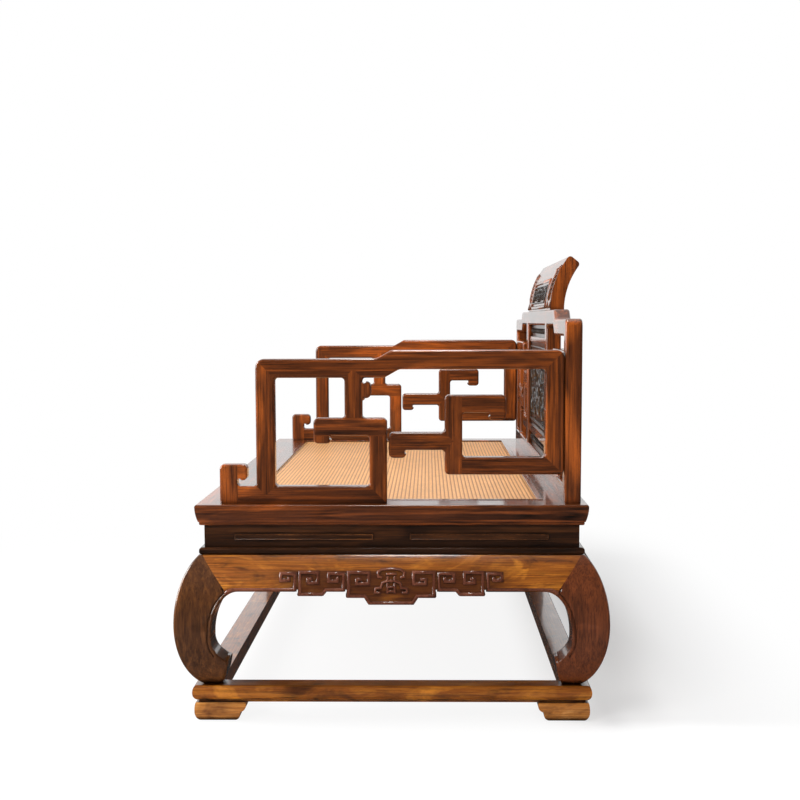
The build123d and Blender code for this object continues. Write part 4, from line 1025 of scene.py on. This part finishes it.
def build_floor(settings):
    """A round floor that keeps the soft shadow near the bed and runs out into plain white."""
    bm = bmesh.new()
    bmesh.ops.create_circle(bm, cap_ends=True, segments=96, radius=40.0)
    mesh = bpy.data.meshes.new("floor")
    bm.to_mesh(mesh)
    bm.free()
    floor = bpy.data.objects.new("floor", mesh)
    bpy.context.scene.collection.objects.link(floor)
    material, tree, shader = new_material("floor_white")
    tree.nodes.remove(shader)
    place = add_node(tree, "TexCoord").outputs["Object"]
    seen = white_for(tree, place, 0.6, 1.6, DARK_STUDIO)
    distance = add_node(tree, "VectorMath", {0: place}, operation="LENGTH").outputs["Value"]
    across = add_node(tree, "SeparateXYZ", {"Vector": place}).outputs["Y"]
    plain = settings.plain
    for value, start, finish, level in (
        (across, 0.3, 0.6, settings.beside),        # the shadow comes out behind the bed,
        (across, 0.6, 1.15, 1.0),                   # runs out within another half metre,
        (distance, 1.5, 2.6, 1.0),                  # and nothing is left of it further away
    ):
        inputs = {"Value": value, "From Min": start, "From Max": finish, "To Min": plain, "To Max": level}
        plain = add_node(tree, "MapRange", inputs, interpolation_type="SMOOTHSTEP").outputs["Result"]
    diffuse = add_node(tree, "BsdfDiffuse", {"Color": opaque(settings.floor)}).outputs["BSDF"]
    white = add_node(tree, "Emission", {"Strength": seen}).outputs["Emission"]
    rays = add_node(tree, "LightPath").outputs
    direct = add_node(tree, "Math", {0: plain, 1: rays["Is Camera Ray"]}, operation="MULTIPLY")
    share = add_node(
        tree, "Math", {0: direct.outputs["Value"], 1: rays["Is Glossy Ray"]}, operation="MAXIMUM"
    ).outputs["Value"]
    mixed = add_node(tree, "MixShader", {0: share, 1: diffuse, 2: white}).outputs["Shader"]
    tree.links.new(mixed, tree.nodes["Material Output"].inputs["Surface"])
    floor.data.materials.append(material)


def build_lamp(name, location, size, power):
    """A soft lamp of one width and height that looks at the middle of the bed."""
    lamp = bpy.data.lights.new(name, "AREA")
    lamp.shape = "RECTANGLE"
    lamp.size, lamp.size_y = size
    lamp.energy = power
    holder = bpy.data.objects.new(name, lamp)
    holder.location = location
    aim = Vector((0, 0, 0.45)) - Vector(location)
    holder.rotation_euler = aim.to_track_quat("-Z", "Y").to_euler()
    bpy.context.scene.collection.objects.link(holder)
    return holder


def build_sky(settings):
    """Even light all round, seen as white by the camera and in reflections of the backdrop."""
    world = bpy.data.worlds.new("studio")
    bpy.context.scene.world = world
    world.use_nodes = True
    tree = world.node_tree
    heading = add_node(tree, "TexCoord").outputs["Generated"]
    seen = white_for(tree, heading, -0.75, 0.35, 0.85)
    level = add_node(tree, "Math", {0: seen, 1: settings.sky}, operation="MAXIMUM").outputs["Value"]
    rays = add_node(tree, "LightPath").outputs
    chosen = add_node(
        tree, "Mix", {"Factor": rays["Is Glossy Ray"], "A": level, "B": seen}
    ).outputs["Result"]
    tree.nodes["Background"].inputs["Color"].default_value = grey(1.0)
    tree.links.new(chosen, tree.nodes["Background"].inputs["Strength"])


CAMERA_PLACE = (4.3796, 0.0829, 0.9131)
CAMERA_TURN = 1.062                     # degrees from straight along the bed
CAMERA_TILT = 6.733                     # degrees below level
CAMERA_ROLL = -0.142
CAMERA_LENS = 68.17                     # millimetres, on a sensor 36 wide
CAMERA_RISE = 0.125                     # vertical shift, in widths of the picture


def build_camera():
    """The camera: at the right end of the bed, a little above the arms."""
    turn, tilt, roll = (math.radians(a) for a in (CAMERA_TURN, CAMERA_TILT, CAMERA_ROLL))
    forward = Vector((-math.cos(turn) * math.cos(tilt), -math.sin(turn) * math.cos(tilt), -math.sin(tilt)))
    level = Vector((-math.sin(turn), math.cos(turn), 0))
    upright = level.cross(forward)
    right = level * math.cos(roll) + upright * math.sin(roll)
    up = upright * math.cos(roll) - level * math.sin(roll)
    lens = bpy.data.cameras.new("camera")
    lens.lens = CAMERA_LENS
    lens.sensor_width = 36
    lens.shift_y = CAMERA_RISE
    camera = bpy.data.objects.new("camera", lens)
    turned = Matrix((right, up, -forward)).transposed().to_4x4()
    camera.matrix_world = Matrix.Translation(Vector(CAMERA_PLACE)) @ turned
    bpy.context.scene.collection.objects.link(camera)
    bpy.context.scene.camera = camera


# ---------------------------------------- panel and registration


class DAYBED_PT_panel(bpy.types.Panel):
    """The steps that dress the daybed."""

    bl_idname = "DAYBED_PT_panel"
    bl_label = "Luohan daybed"
    bl_space_type = "VIEW_3D"
    bl_region_type = "UI"
    bl_category = "Daybed"

    def draw(self, context):
        for step in STEPS:
            self.layout.operator(step.bl_idname)


SETTINGS = {"carving": DaybedCarving, "cane": DaybedCane, "stage": DaybedStage}
STEPS = (
    DAYBED_OT_woods,
    DAYBED_OT_cane,
    DAYBED_OT_aprons,
    DAYBED_OT_waist,
    DAYBED_OT_legs,
    DAYBED_OT_panels,
    DAYBED_OT_crest,
    DAYBED_OT_stage,
)
CLASSES = (DaybedWood, *SETTINGS.values(), *STEPS, DAYBED_PT_panel)


def register():
    """Make the settings, steps and panel known to Blender."""
    for kind in CLASSES:
        bpy.utils.register_class(kind)
    for name in WOODS:
        setattr(bpy.types.Scene, "daybed_" + name, bpy.props.PointerProperty(type=DaybedWood))
    for name, kind in SETTINGS.items():
        setattr(bpy.types.Scene, "daybed_" + name, bpy.props.PointerProperty(type=kind))


def unregister():
    """Take them away again."""
    for name in (*WOODS, *SETTINGS):
        delattr(bpy.types.Scene, "daybed_" + name)
    for kind in reversed(CLASSES):
        bpy.utils.unregister_class(kind)


def main():
    """Dress the bed and set the stage."""
    register()
    for name, wood in WOODS.items():
        tones = getattr(bpy.context.scene, "daybed_" + name)
        tones.pale, tones.middle, tones.dark = srgb(wood.pale), srgb(wood.middle), srgb(wood.dark)
        tones.gloss = wood.gloss
    for step in STEPS:
        group, call = step.bl_idname.split(".")
        getattr(getattr(bpy.ops, group), call)()


if __name__ == "__main__":
    main()
